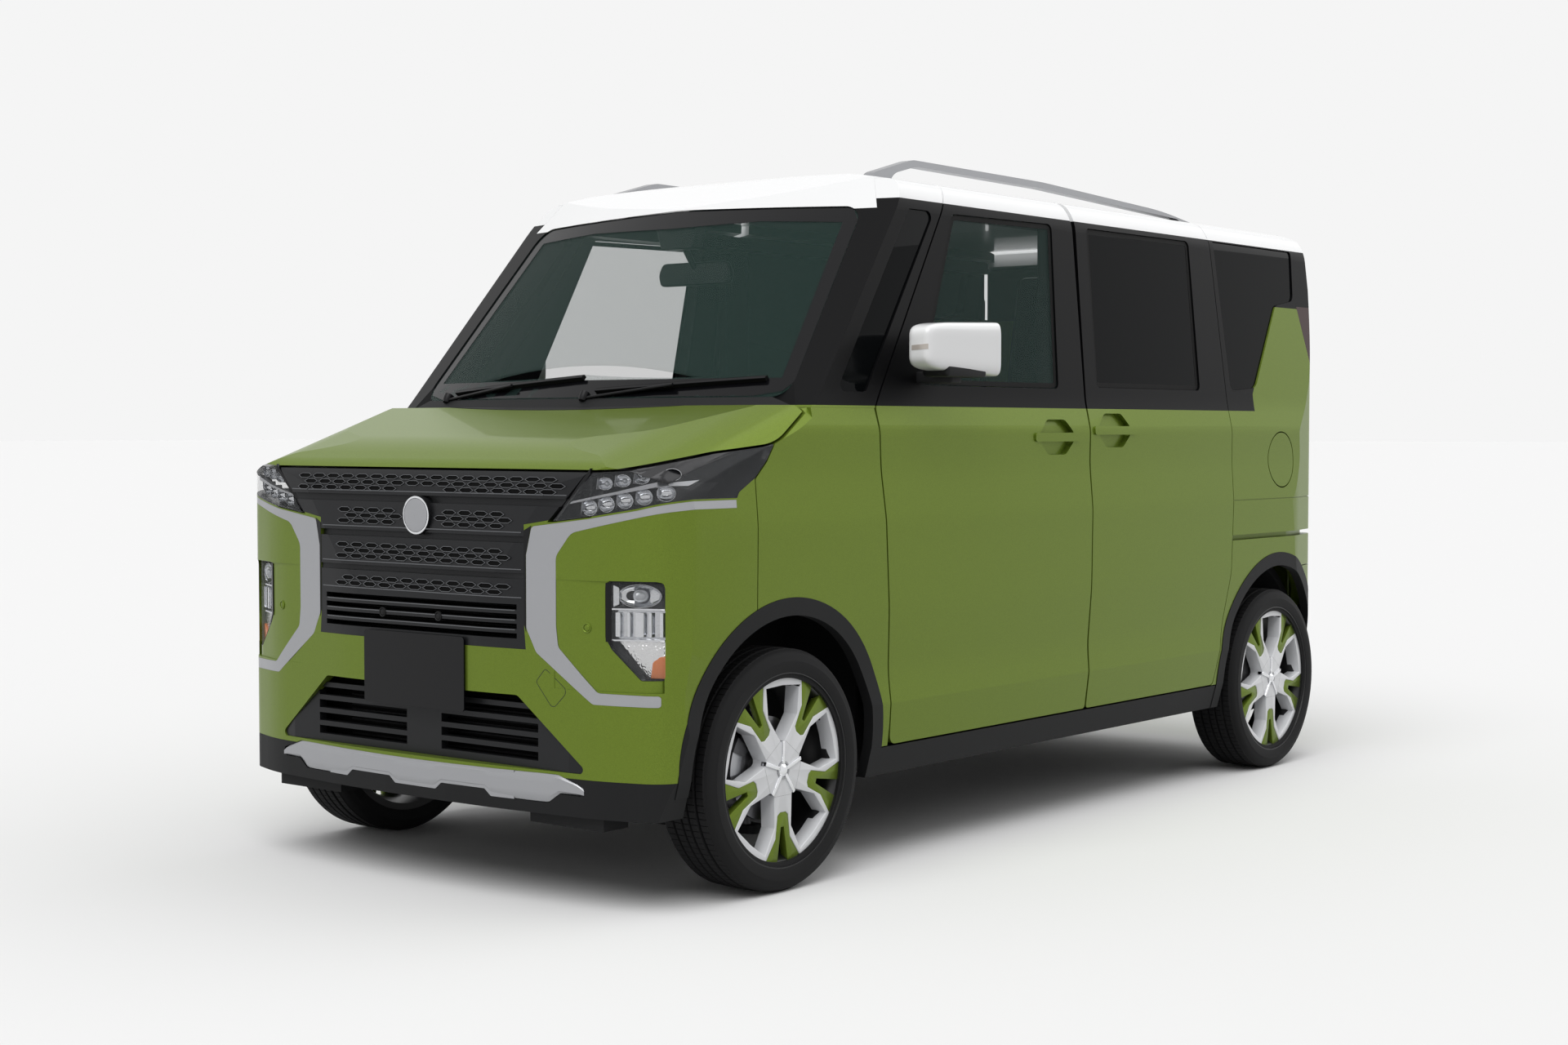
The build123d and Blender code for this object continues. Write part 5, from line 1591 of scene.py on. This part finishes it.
# ---------------------------------------------------------------- wipers and small fittings
# front view: pivot, blade's end
WIPERS = (((-0.500, 1.150), (0.020, 1.204)), ((0.060, 1.150), (0.560, 1.196)))
TOW_COVER = ((0.384, 0.512), (0.412, 0.544), (0.470, 0.500), (0.470, 0.488), (0.440, 0.458), (0.428, 0.458))
CHEEK_SENSOR = (0.528, 0.640)
BLADE_START = 0.06  # share of the way from pivot to tip
# how far the arm's foot and top stand off the glass
ARM_LIFT = (Vector((0, -0.012, -0.004)), Vector((0, -0.014, 0.008)))
LOWEST_FOOT = 1.163
PIVOT_CAP = ((0.0003, -0.010), (0.010, -0.008), (0.013, 0.002), (0.013, 0.016), (0.0003, 0.016))
PIVOT_LEAN = math.radians(60)


class KEI_OT_fittings(bpy.types.Operator):
    """Wipers, tow eye cover, distance sensors and the blank that closes the right quarter"""

    bl_idname = "kei.fittings"
    bl_label = "Wipers and small fittings"

    def execute(self, context):
        for i, (pivot, tip) in enumerate(WIPERS):
            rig.ride(self.wiper(pivot, tip, f"wiper_{i}"), "body")
        bumper = NODES["front_bumper"]
        outline = rounded(TOW_COVER, 0.008)
        cover = ring_on("tow_cover", bumper, "front", outline, 0.0014, 2, 0.0003, 0.0008, Finish.seam_green)
        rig.ride(cover, "body")
        x, z = CHEEK_SENSOR
        sensors = [on_surface(sensor(Finish.green), bumper, "front", sign * x, z) for sign in (1, -1)]
        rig.ride(join(sensors, "cheek_sensors"), "body")
        lid = copy_of_node("fuel_lid", "lid", Finish.green)
        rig.ride(copy_mirrored(lid, "quarter_blank"), "body")
        remove_objects([lid])
        return {"FINISHED"}

    def wiper(self, pivot, tip, name):
        """A blade on its rail, its arm and a capped pivot, lying along the foot of the windscreen."""
        screen = NODES["windscreen"]
        start = Vector(pivot) + (Vector(tip) - Vector(pivot)) * BLADE_START + Vector((0, 0.016))
        low = [tuple(start), tip]
        high = [(u, v + 0.009) for u, v in low]
        blade = ribbon("blade", screen, "front", (low, high), 16, 0.010, 0.0095, Finish.rubber)
        high = [(u, v + 0.005) for u, v in low]
        rail = ribbon("rail", screen, "front", (low, high), 16, 0.0135, 0.0035, Finish.satin_black)
        middle = start.lerp(Vector(tip), 0.5)
        foot = surface(screen, "front", pivot[0], max(pivot[1], LOWEST_FOOT))[0] + ARM_LIFT[0]
        top = surface(screen, "front", *middle)[0] + ARM_LIFT[1]
        arm = rod_piece("arm", 0.0045, foot, top, Finish.satin_black, 10)
        cap = lathe_piece("pivot", PIVOT_CAP, Finish.satin_black, 20)
        cap.data.transform(Matrix.Translation(foot) @ Matrix.Rotation(PIVOT_LEAN, 4, "X") @ TO_THE_FRONT)
        return join([blade, rail, arm, cap], name)


# ---------------------------------------------------------------- tail
TAIL_CELLS = 5
CLEAR_CELL = 2  # counted from the lowest, which is 0
TAIL_CELL_X = (0.620, 0.662)
TAIL_CELL_HEIGHT = 0.052
TAIL_MARGIN = 0.05  # plain lamp below the lowest cell
GATE_HANDLE = (((-0.230, 0.868), (0.230, 0.868)), ((-0.224, 0.906), (0.224, 0.906)))
REAR_BLADE = (((-0.020, 1.215), (0.340, 1.262)), ((-0.020, 1.224), (0.340, 1.271)))
REAR_ARM = ((0.0, 1.200, 0.010), (0.165, 1.245, 0.012))  # foot and top: x, z, distance from the glass
REFLECTOR = (0.500, 0.610, 0.420, 0.026)  # x from and to, foot, height
HIGH_STOP = (-0.110, 0.110, 1.7135, 1.7205)


class KEI_OT_tail(bpy.types.Operator):
    """Cells in the tail lamps, rear wiper, high stop lamp, handle strip and reflectors"""

    bl_idname = "kei.tail"
    bl_label = "Tail"

    def execute(self, context):
        bars = self.lamp_cells()
        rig.ride(join(bars, "tail_lamp_cells"), "body")
        gate = NODES["tailgate"]
        handle = ribbon("gate_handle", gate, "rear", GATE_HANDLE, 20, 0.0035, 0.010, Finish.silver)
        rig.ride(handle, "tailgate")
        glass = NODES["tailgate_glass"]
        blade = ribbon("blade", glass, "rear", REAR_BLADE, 14, 0.010, 0.009, Finish.rubber)
        foot, top = (surface(glass, "rear", x, z)[0] + Vector((0, gap, 0)) for x, z, gap in REAR_ARM)
        arm = rod_piece("arm", 0.005, foot, top, Finish.satin_black, 10)
        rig.ride(join([blade, arm], "rear_wiper"), "tailgate")
        bumper = NODES["rear_bumper"]
        inner, outer, foot, height = REFLECTOR
        reflectors = []
        for sign in (1, -1):
            edges = level_strip(sign * inner, sign * outer, foot, foot + height)
            reflectors.append(ribbon("reflector", bumper, "rear", edges, 8, 0.001, 0.003, Finish.red))
        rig.ride(join(reflectors, "rear_reflectors"), "body")
        edges = level_strip(*HIGH_STOP)
        stop = ribbon("high_stop_lamp", NODES["rear_spoiler"], "rear", edges, 12, 0.0004, 0.001, Finish.red)
        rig.ride(stop, "tailgate")
        return {"FINISHED"}

    def lamp_cells(self):
        """Red cells over one another on each tail lamp, with a clear one between them."""
        low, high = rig.box("tail_lamps")
        inner, outer = TAIL_CELL_X
        cells = []
        for sign in (1, -1):
            for i in range(TAIL_CELLS):
                z = low[2] + TAIL_MARGIN + i * (high[2] - low[2] - 2 * TAIL_MARGIN) / (TAIL_CELLS - 0.5)
                edges = level_strip(sign * inner, sign * outer, z, z + TAIL_CELL_HEIGHT)
                finish = Finish.clear_strip if i == CLEAR_CELL else Finish.red
                cells.append(ribbon("bar", NODES["tail_lamps"], "rear", edges, 8, 0.0006, 0.0012, finish))
        return cells


# ---------------------------------------------------------------- seats
SEAT_X = 0.330
# half width, cushion's front and rear, back's foot, its top
FRONT_SEAT = (0.225, -0.585, -0.085, -0.180, 0.870)
REAR_SEAT = (0.490, 0.395, 0.895, 0.800, 0.885)
SEAT_LOW = 0.395
SEAT_HIGH = 0.575
BACK_LEAN = 0.49
BACK_FOOT_Z = 0.535
BACK_THICK = 0.100
CUSHION_DIP = 0.030
HEAD_HALF = 0.122
HEAD_HEIGHTS = (0.030, 0.185)  # above the back's top
CHANNEL = 0.007  # depth and half width of a sewn channel
FRONT_CHANNELS = (-0.125, 0.125)
REAR_CHANNELS = (-0.40, -0.10, 0.10, 0.40)
POSTS_X = (-0.054, 0.054)
VOXEL = 0.011
QUICK_VOXELS = 3  # how much coarser a draft's voxels are
PAD_PRESSURE = 4.0
PAD_FRAMES = 16
SWELLING = 0.012  # furthest that cloth may move a pad's points
HEAD_SWELLING = 0.008


def pad(name, low, high, cap, reshape):
    """A stuffed form: a soft-cornered block that cloth blows up, held to a small swelling."""
    piece = box_piece(name, low, high, Finish.seat, 0.030, 4)
    select_only(piece)
    with edit_mode():
        bpy.ops.mesh.subdivide(number_cuts=1)
    for vertex in piece.data.vertices:
        vertex.co = reshape(vertex.co)
    piece.data.remesh_voxel_size = VOXEL * (QUICK_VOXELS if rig.quick() else 1)
    bpy.ops.object.voxel_remesh()
    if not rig.quick():
        blow_up(piece, cap)
    bpy.ops.object.shade_smooth()
    return piece


def blow_up(piece, cap):
    """Cloth with pressure and no gravity; no point may end further than the cap from its place."""
    scene = bpy.context.scene
    before = [vertex.co.copy() for vertex in piece.data.vertices]
    cloth = piece.modifiers.new("padding", "CLOTH")
    cloth.settings.use_pressure = True
    cloth.settings.uniform_pressure_force = PAD_PRESSURE
    cloth.settings.effector_weights.gravity = 0
    for frame in range(1, PAD_FRAMES + 1):
        scene.frame_set(frame)
    select_only(piece)
    bpy.ops.object.modifier_apply(modifier=cloth.name)
    scene.frame_set(1)
    for vertex, place in zip(piece.data.vertices, before):
        moved = vertex.co - place
        if moved.length > cap:
            vertex.co = place + moved * (cap / moved.length)


def leaned(co):
    """Leans a back rest: its points move back as they rise."""
    return Vector((co.x, co.y + (co.z - BACK_FOOT_Z) * BACK_LEAN, co.z))


def dished(half_width):
    """A seat cushion whose middle is lower than its side bolsters."""

    def move(co):
        side = min(abs(co.x) / half_width, 1.0)
        top = max(0.0, (co.z - SEAT_LOW) / (SEAT_HIGH - SEAT_LOW))
        return Vector((co.x, co.y, co.z - top * CUSHION_DIP * (1 - side**3)))

    return move


def head_lean(top):
    """A headrest that leans back a little over the top of its back rest."""
    return lambda co: Vector((co.x, co.y + (co.z - top) * 0.2 - 0.012, co.z))


def channel_runs(places, foot, top, levels):
    """Upright runs at some places across a pad, and level runs between the outer two."""
    upright = [((x, foot), (x, top)) for x in places]
    return upright + [((places[0], v), (places[-1], v)) for v in levels]


def seat_pads(prefix, sizes, channels):
    """Cushion, back and headrest at x = 0, with sewn channels."""
    half, front, rear, foot, top = sizes
    low, high = (-half, front, SEAT_LOW), (half, rear, SEAT_HIGH)
    cushion = pad(prefix + "_cushion", low, high, SWELLING, dished(half))
    low, high = (-half + 0.010, foot, BACK_FOOT_Z - 0.060), (half - 0.010, foot + BACK_THICK, top)
    back = pad(prefix + "_back", low, high, SWELLING, leaned)
    head_y = foot + (top - BACK_FOOT_Z) * BACK_LEAN + 0.063
    neck, crown = (top + height for height in HEAD_HEIGHTS)
    low, high = (-HEAD_HALF, head_y - 0.040, neck), (HEAD_HALF, head_y + 0.040, crown)
    head = pad(prefix + "_headrest", low, high, HEAD_SWELLING, head_lean(top))
    sew(cushion, "top", channel_runs(channels, front + 0.05, rear - 0.03, (rear - 0.14, rear - 0.30)))
    levels = (BACK_FOOT_Z + 0.12, BACK_FOOT_Z + 0.24)
    sew(back, "front", channel_runs(channels, BACK_FOOT_Z + 0.03, top - 0.04, levels))
    return cushion, back, head


def sew(piece, view, runs):
    """Presses narrow sewn channels into a pad, along runs in a view."""
    for vertex in piece.data.vertices:
        u, v = (vertex.co.x, vertex.co.y) if view == "top" else (vertex.co.x, vertex.co.z)
        outward = vertex.normal.z if view == "top" else -vertex.normal.y
        if outward < 0.5:
            continue
        near = min(distance_to_run((u, v), run) for run in runs)
        depth = CHANNEL * math.exp(-((near / CHANNEL) ** 2))
        vertex.co -= vertex.normal * depth


def distance_to_run(place, run):
    start, end = Vector(run[0]), Vector(run[1])
    along = end - start
    t = max(0.0, min(1.0, (Vector(place) - start).dot(along) / along.length_squared))
    return (Vector(place) - start - along * t).length


def seat_frame(half, front, rear, foot, top):
    """Runners, recliner covers and headrest posts."""
    pieces = []
    cover = [
        (rear - 0.20, 0.385), (rear + 0.055, 0.385), (rear + 0.055, 0.47), (rear - 0.02, 0.52),
        (rear - 0.18, 0.45),
    ]
    cover = rounded(cover, 0.02)
    for sign in (1, -1):
        x = sign * (half - 0.05)
        low, high = (x - 0.016, front + 0.06, 0.264), (x + 0.016, rear + 0.02, 0.300)
        pieces.append(box_piece("runner", low, high, Finish.chassis, 0.004))
        low, high = (x - 0.012, front + 0.10, 0.298), (x + 0.012, rear - 0.02, 0.392)
        pieces.append(box_piece("riser", low, high, Finish.chassis, 0.004))
        near, far = sign * (half + 0.002), sign * (half + 0.016)
        pieces.append(outline_piece("cover", cover, near, far, Finish.cabin, "x", 0.004))
    post_y = foot + (top - BACK_FOOT_Z) * BACK_LEAN + 0.055
    for x in POSTS_X:
        low, high = (x, post_y - 0.01, top - 0.04), (x, post_y + 0.012, top + 0.05)
        pieces.append(rod_piece("post", 0.006, low, high, Finish.steel, 14))
    return join(pieces, "seat_frame")


class KEI_OT_seats(bpy.types.Operator):
    """Two front seats and the rear bench: stuffed cushions, backs and headrests on their frames"""

    bl_idname = "kei.seats"
    bl_label = "Seats"

    def execute(self, context):
        pads = seat_pads("front_seat", FRONT_SEAT, FRONT_CHANNELS)
        frame_piece = seat_frame(*FRONT_SEAT)
        made = []
        for side, x in (("left", SEAT_X), ("right", -SEAT_X)):
            for piece in (*pads, frame_piece):
                twin = placed_copy(piece, piece.name + "_" + side, Vector((x, 0, 0)))
                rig.ride(twin, "body")
                made.append(twin)
                if piece is not frame_piece:
                    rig.padded(twin, 0.7)
        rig.replaces(made[0], "front_seats")
        remove_objects([*pads, frame_piece])
        pads = seat_pads("rear_seat", REAR_SEAT, REAR_CHANNELS)
        for piece in pads:
            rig.padded(piece, 0.7)
            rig.ride(piece, "body")
        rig.ride(seat_frame(*REAR_SEAT), "body")
        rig.replaces(pads[0], "rear_seat")
        return {"FINISHED"}


# ---------------------------------------------------------------- cabin
DRIVER_X = -0.330
WHEEL_PLACE = (DRIVER_X, -0.372, 0.968)
WHEEL_LEAN = math.radians(-62)
DASH_SIDE = (
    (-0.738, 0.765), (-0.525, 0.765), (-0.486, 0.955), (-0.535, 1.040), (-0.640, 1.072), (-0.738, 1.076)
)
SHELF = ((-0.585, -0.747), (0.585, -0.747), (0.552, -0.948), (-0.552, -0.948))
# across from the driver's middle, up
BINNACLE = ((-0.15, 0.985), (0.15, 0.985), (0.13, 1.082), (-0.13, 1.082))
DIALS = ((-0.12, 0.998), (0.12, 0.998), (0.105, 1.068), (-0.105, 1.068))
VENTS_X = (-0.545, -0.165, 0.165, 0.545)
VANES = 4
VANE_STEP = 0.0115
SIDE_SPOKE = ((0.05, -0.020), (0.168, -0.012), (0.168, 0.016), (0.05, 0.024))
LOW_SPOKE = ((-0.022, -0.168), (0.022, -0.168), (0.030, -0.05), (-0.030, -0.05))
WHEEL_BOSS = (
    (-0.070, -0.062), (0.070, -0.062), (0.078, 0.030), (0.040, 0.058), (-0.040, 0.058), (-0.078, 0.030)
)
MIRROR_HEAD = (
    (-0.120, 1.468), (0.120, 1.468), (0.128, 1.500), (0.112, 1.530), (-0.112, 1.530), (-0.128, 1.500)
)
HEAD_GLASS = (
    (-0.112, 1.474), (0.112, 1.474), (0.119, 1.500), (0.106, 1.524), (-0.106, 1.524), (-0.119, 1.500)
)
STEM_HOUSING = ((-0.055, 1.560), (0.055, 1.560), (0.075, 1.628), (-0.075, 1.628))


class KEI_OT_cabin(bpy.types.Operator):
    """Dashboard with its instruments and display, steering wheel, and the mirror on the windscreen"""

    bl_idname = "kei.cabin"
    bl_label = "Cabin"

    def execute(self, context):
        board = outline_piece("board", DASH_SIDE, -0.590, 0.590, Finish.cabin, "x", 0.012, 3, 0.3)
        shelf = outline_piece("shelf", SHELF, 1.062, 1.086, Finish.cabin, "z", 0.006, 3)
        outline = rounded([(DRIVER_X + u, v) for u, v in BINNACLE], 0.03)
        binnacle = outline_piece("binnacle", outline, -0.700, -0.500, Finish.cabin, "y", 0.008)
        outline = rounded([(DRIVER_X + u, v) for u, v in DIALS], 0.02)
        dials = outline_piece("dials", outline, -0.502, -0.497, Finish.gloss_black, "y", 0.001)
        display = box_piece(
            "display", (-0.120, -0.530, 0.960), (0.120, -0.486, 1.092), Finish.gloss_black, 0.006
        )
        picture = box_piece(
            "picture", (-0.108, -0.4875, 0.972), (0.108, -0.4845, 1.080), Finish.screen, 0.001
        )
        parts = [board, shelf, binnacle, dials, display, picture]
        for x in VENTS_X:
            low, high = (x - 0.030, -0.545, 0.975), (x + 0.030, -0.497, 1.030)
            parts.append(box_piece("vent", low, high, Finish.satin_black, 0.005))
            for i in range(VANES):
                rise = i * VANE_STEP
                low, high = (x - 0.026, -0.4985, 0.983 + rise), (x + 0.026, -0.494, 0.9855 + rise)
                parts.append(box_piece("vane", low, high, Finish.silver, 0.0006, 1))
        glove_box = box_piece(
            "glove_box", (0.200, -0.520, 0.800), (0.560, -0.487, 0.930), Finish.cabin, 0.010
        )
        trim = box_piece("dash_trim", (0.130, -0.505, 0.944), (0.575, -0.483, 0.956), Finish.silver, 0.003)
        dash = join([*parts, glove_box, trim], "dashboard_dressed")
        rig.ride(dash, "body")
        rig.replaces(dash, "dashboard")
        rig.ride(self.steering_wheel(), "body")
        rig.ride(self.screen_mirror(), "body")
        return {"FINISHED"}

    def steering_wheel(self):
        """Padded rim, three spokes and a plain boss on a column."""
        deselect_all()
        bpy.ops.mesh.primitive_torus_add(
            major_segments=64, minor_segments=16, major_radius=0.177, minor_radius=0.0145
        )
        rim = settle(bpy.context.object, "rim", Finish.leather)
        bpy.ops.object.shade_smooth()
        spokes = []
        for outline in (SIDE_SPOKE, [(-u, v) for u, v in SIDE_SPOKE], LOW_SPOKE):
            outline = rounded(outline, 0.006)
            spokes.append(outline_piece("spoke", outline, -0.010, 0.006, Finish.silver, "z", 0.003))
        boss = outline_piece("boss", rounded(WHEEL_BOSS, 0.024), -0.022, 0.020, Finish.cabin, "z", 0.008, 3)
        column = rod_piece("column", 0.024, (0, 0, -0.018), (0, 0, -0.150), Finish.cabin, 28)
        wheel = join([rim, *spokes, boss, column], "steering_wheel")
        wheel.data.transform(Matrix.Translation(Vector(WHEEL_PLACE)) @ Matrix.Rotation(WHEEL_LEAN, 4, "X"))
        return wheel

    def screen_mirror(self):
        """The mirror in the car, on a stem from the housing at the windscreen's top."""
        black = Finish.satin_black
        head = outline_piece("head", rounded(MIRROR_HEAD, 0.012), -0.690, -0.668, black, "y", 0.006, 3)
        glass = outline_piece("glass", rounded(HEAD_GLASS, 0.010), -0.669, -0.6665, Finish.mirror)
        stem = rod_piece("stem", 0.009, (0, -0.685, 1.515), (0, -0.742, 1.590), black, 16)
        housing = outline_piece(
            "housing", rounded(STEM_HOUSING, 0.012), -0.760, -0.715, black, "y", 0.008, 3
        )
        return join([head, glass, stem, housing], "screen_mirror")


# ---------------------------------------------------------------- studio
BACKDROP = 0.913  # grey of the background as it is seen
FLOOR_SIZE = 400
SUNS = (  # name, turn, width of the sun's disc, share of the key light's strength
    ("key_sun", (math.radians(34), 0, math.radians(20)), math.radians(50), 1.0),
    ("rear_sun", (math.radians(-48), 0, math.radians(-30)), math.radians(60), 0.35),
)
SENSOR_WIDTH = 36
LENS = 51.49
CAMERA_PLACE = (3.976, -5.257, 1.079)
CAMERA_AZIMUTH = math.radians(38.736)
CAMERA_ELEVATION = math.radians(2.36)
FAR_END = 500
CLEAR_BOUNCES = 24  # enough for light to pass all the panes behind one another
SKY_RAMP = (-0.05, 0.9)  # heights of a direction at which the sky has its low and its high brightness


class KEI_OT_stage(bpy.types.Operator):
    """Builds the pale studio floor, the lights and the camera"""

    bl_idname = "kei.stage"
    bl_label = "Studio"

    def execute(self, context):
        props = context.scene.kei_wagon
        scene = context.scene
        deselect_all()
        bpy.ops.mesh.primitive_plane_add(size=FLOOR_SIZE, location=(0, 0, 0))
        floor = bpy.context.object
        floor.name = "studio_floor"
        floor.data.materials.append(floor_material(props.floor_color, props.floor_bounce))
        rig.stage(floor)
        studio_world(scene, props)
        for name, turn, angle, share in SUNS:
            data = bpy.data.lights.new(name, "SUN")
            data.angle = angle
            data.energy = props.key_power * share
            lamp = bpy.data.objects.new(name, data)
            lamp.rotation_euler = turn
            scene.collection.objects.link(lamp)
        self.camera(scene)
        scene.view_settings.view_transform = "Standard"
        scene.cycles.transparent_max_bounces = CLEAR_BOUNCES
        return {"FINISHED"}

    def camera(self, scene):
        """Looks at the car from its front left, a little above the lamps."""
        data = bpy.data.cameras.new("camera")
        data.sensor_width = SENSOR_WIDTH
        data.lens = LENS
        data.clip_end = FAR_END
        camera = bpy.data.objects.new("camera", data)
        camera.location = CAMERA_PLACE
        azimuth, elevation = CAMERA_AZIMUTH, CAMERA_ELEVATION
        level = math.cos(elevation)
        aim = Vector((-math.sin(azimuth) * level, math.cos(azimuth) * level, -math.sin(elevation)))
        camera.rotation_euler = aim.to_track_quat("-Z", "Y").to_euler()
        scene.collection.objects.link(camera)
        scene.camera = camera


def seen_directly(tree):
    """One for what the eye sees itself, in metal or through glass, and zero for light that is scattered."""
    path = tree.nodes.new("ShaderNodeLightPath")
    eye_or_glass = math_node(
        tree, "MAXIMUM", path.outputs["Is Camera Ray"], path.outputs["Is Transmission Ray"]
    )
    return math_node(tree, "MAXIMUM", eye_or_glass, path.outputs["Is Glossy Ray"])


def floor_material(seen_grey, lit_grey):
    """Matt floor that keeps the shadow, pale to the eye and darker in the light it throws back."""
    mat = bpy.data.materials.new("studio floor")
    mat.use_nodes = True
    tree = mat.node_tree
    shader = tree.nodes["Principled BSDF"]
    shader.inputs["Roughness"].default_value = 1.0
    shader.inputs["Specular IOR Level"].default_value = 0.0
    _, share, lit, seen, result = mix_node(tree, "RGBA")
    lit.default_value = (*[lit_grey] * 3, 1)
    seen.default_value = (*[seen_grey] * 3, 1)
    tree.links.new(seen_directly(tree), share)
    tree.links.new(result, shader.inputs["Base Color"])
    return mat


def studio_world(scene, props):
    """Soft light from above; the eye, glass and metal see the pale background."""
    world = bpy.data.worlds.new("studio")
    world.use_nodes = True
    tree = world.node_tree
    light = tree.nodes["Background"]
    coords = tree.nodes.new("ShaderNodeTexCoord")
    split = tree.nodes.new("ShaderNodeSeparateXYZ")
    ramp = tree.nodes.new("ShaderNodeMapRange")
    ramp.inputs["From Min"].default_value, ramp.inputs["From Max"].default_value = SKY_RAMP
    ramp.inputs["To Min"].default_value = props.sky_low
    ramp.inputs["To Max"].default_value = props.sky_high
    tree.links.new(coords.outputs["Generated"], split.inputs[0])
    tree.links.new(split.outputs["Z"], ramp.inputs["Value"])
    tree.links.new(ramp.outputs["Result"], light.inputs["Strength"])
    light.inputs["Color"].default_value = (1, 1, 1, 1)
    seen = tree.nodes.new("ShaderNodeBackground")
    seen.inputs["Color"].default_value = (*[BACKDROP] * 3, 1)
    mix = tree.nodes.new("ShaderNodeMixShader")
    tree.links.new(seen_directly(tree), mix.inputs[0])
    tree.links.new(light.outputs[0], mix.inputs[1])
    tree.links.new(seen.outputs[0], mix.inputs[2])
    tree.links.new(mix.outputs[0], tree.nodes["World Output"].inputs["Surface"])
    scene.world = world


class KEI_PT_panel(bpy.types.Panel):
    """Lists the wagon's dressing steps"""

    bl_idname = "KEI_PT_panel"
    bl_label = "Kei wagon"
    bl_space_type = "VIEW_3D"
    bl_region_type = "UI"
    bl_category = "Kei wagon"

    def draw(self, context):
        settings = context.scene.kei_wagon
        for field in (
            "body_color", "roof_color", "floor_color", "floor_bounce", "key_power", "sky_low", "sky_high"
        ):
            self.layout.prop(settings, field)
        for step in STEPS:
            self.layout.operator(step.bl_idname)


STEPS = (
    KEI_OT_paint,
    KEI_OT_wheels,
    KEI_OT_brakes,
    KEI_OT_grille,
    KEI_OT_lamps,
    KEI_OT_windows,
    KEI_OT_mirrors,
    KEI_OT_skid,
    KEI_OT_fittings,
    KEI_OT_tail,
    KEI_OT_seats,
    KEI_OT_cabin,
    KEI_OT_stage,
)
CLASSES = (KeiWagonSettings, *STEPS, KEI_PT_panel)


def register():
    for cls in CLASSES:
        bpy.utils.register_class(cls)
    bpy.types.Scene.kei_wagon = bpy.props.PointerProperty(type=KeiWagonSettings)


def unregister():
    del bpy.types.Scene.kei_wagon
    for cls in reversed(CLASSES):
        bpy.utils.unregister_class(cls)


def main():
    register()
    for step in STEPS:
        family, name = step.bl_idname.split(".")
        getattr(getattr(bpy.ops, family), name)()
    json.dump({"cad": [list(v) for v in CAD_BOX], "dressed": [list(v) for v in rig.bounds()]}, open("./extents.json", "w"))


if __name__ == "__main__":
    main()
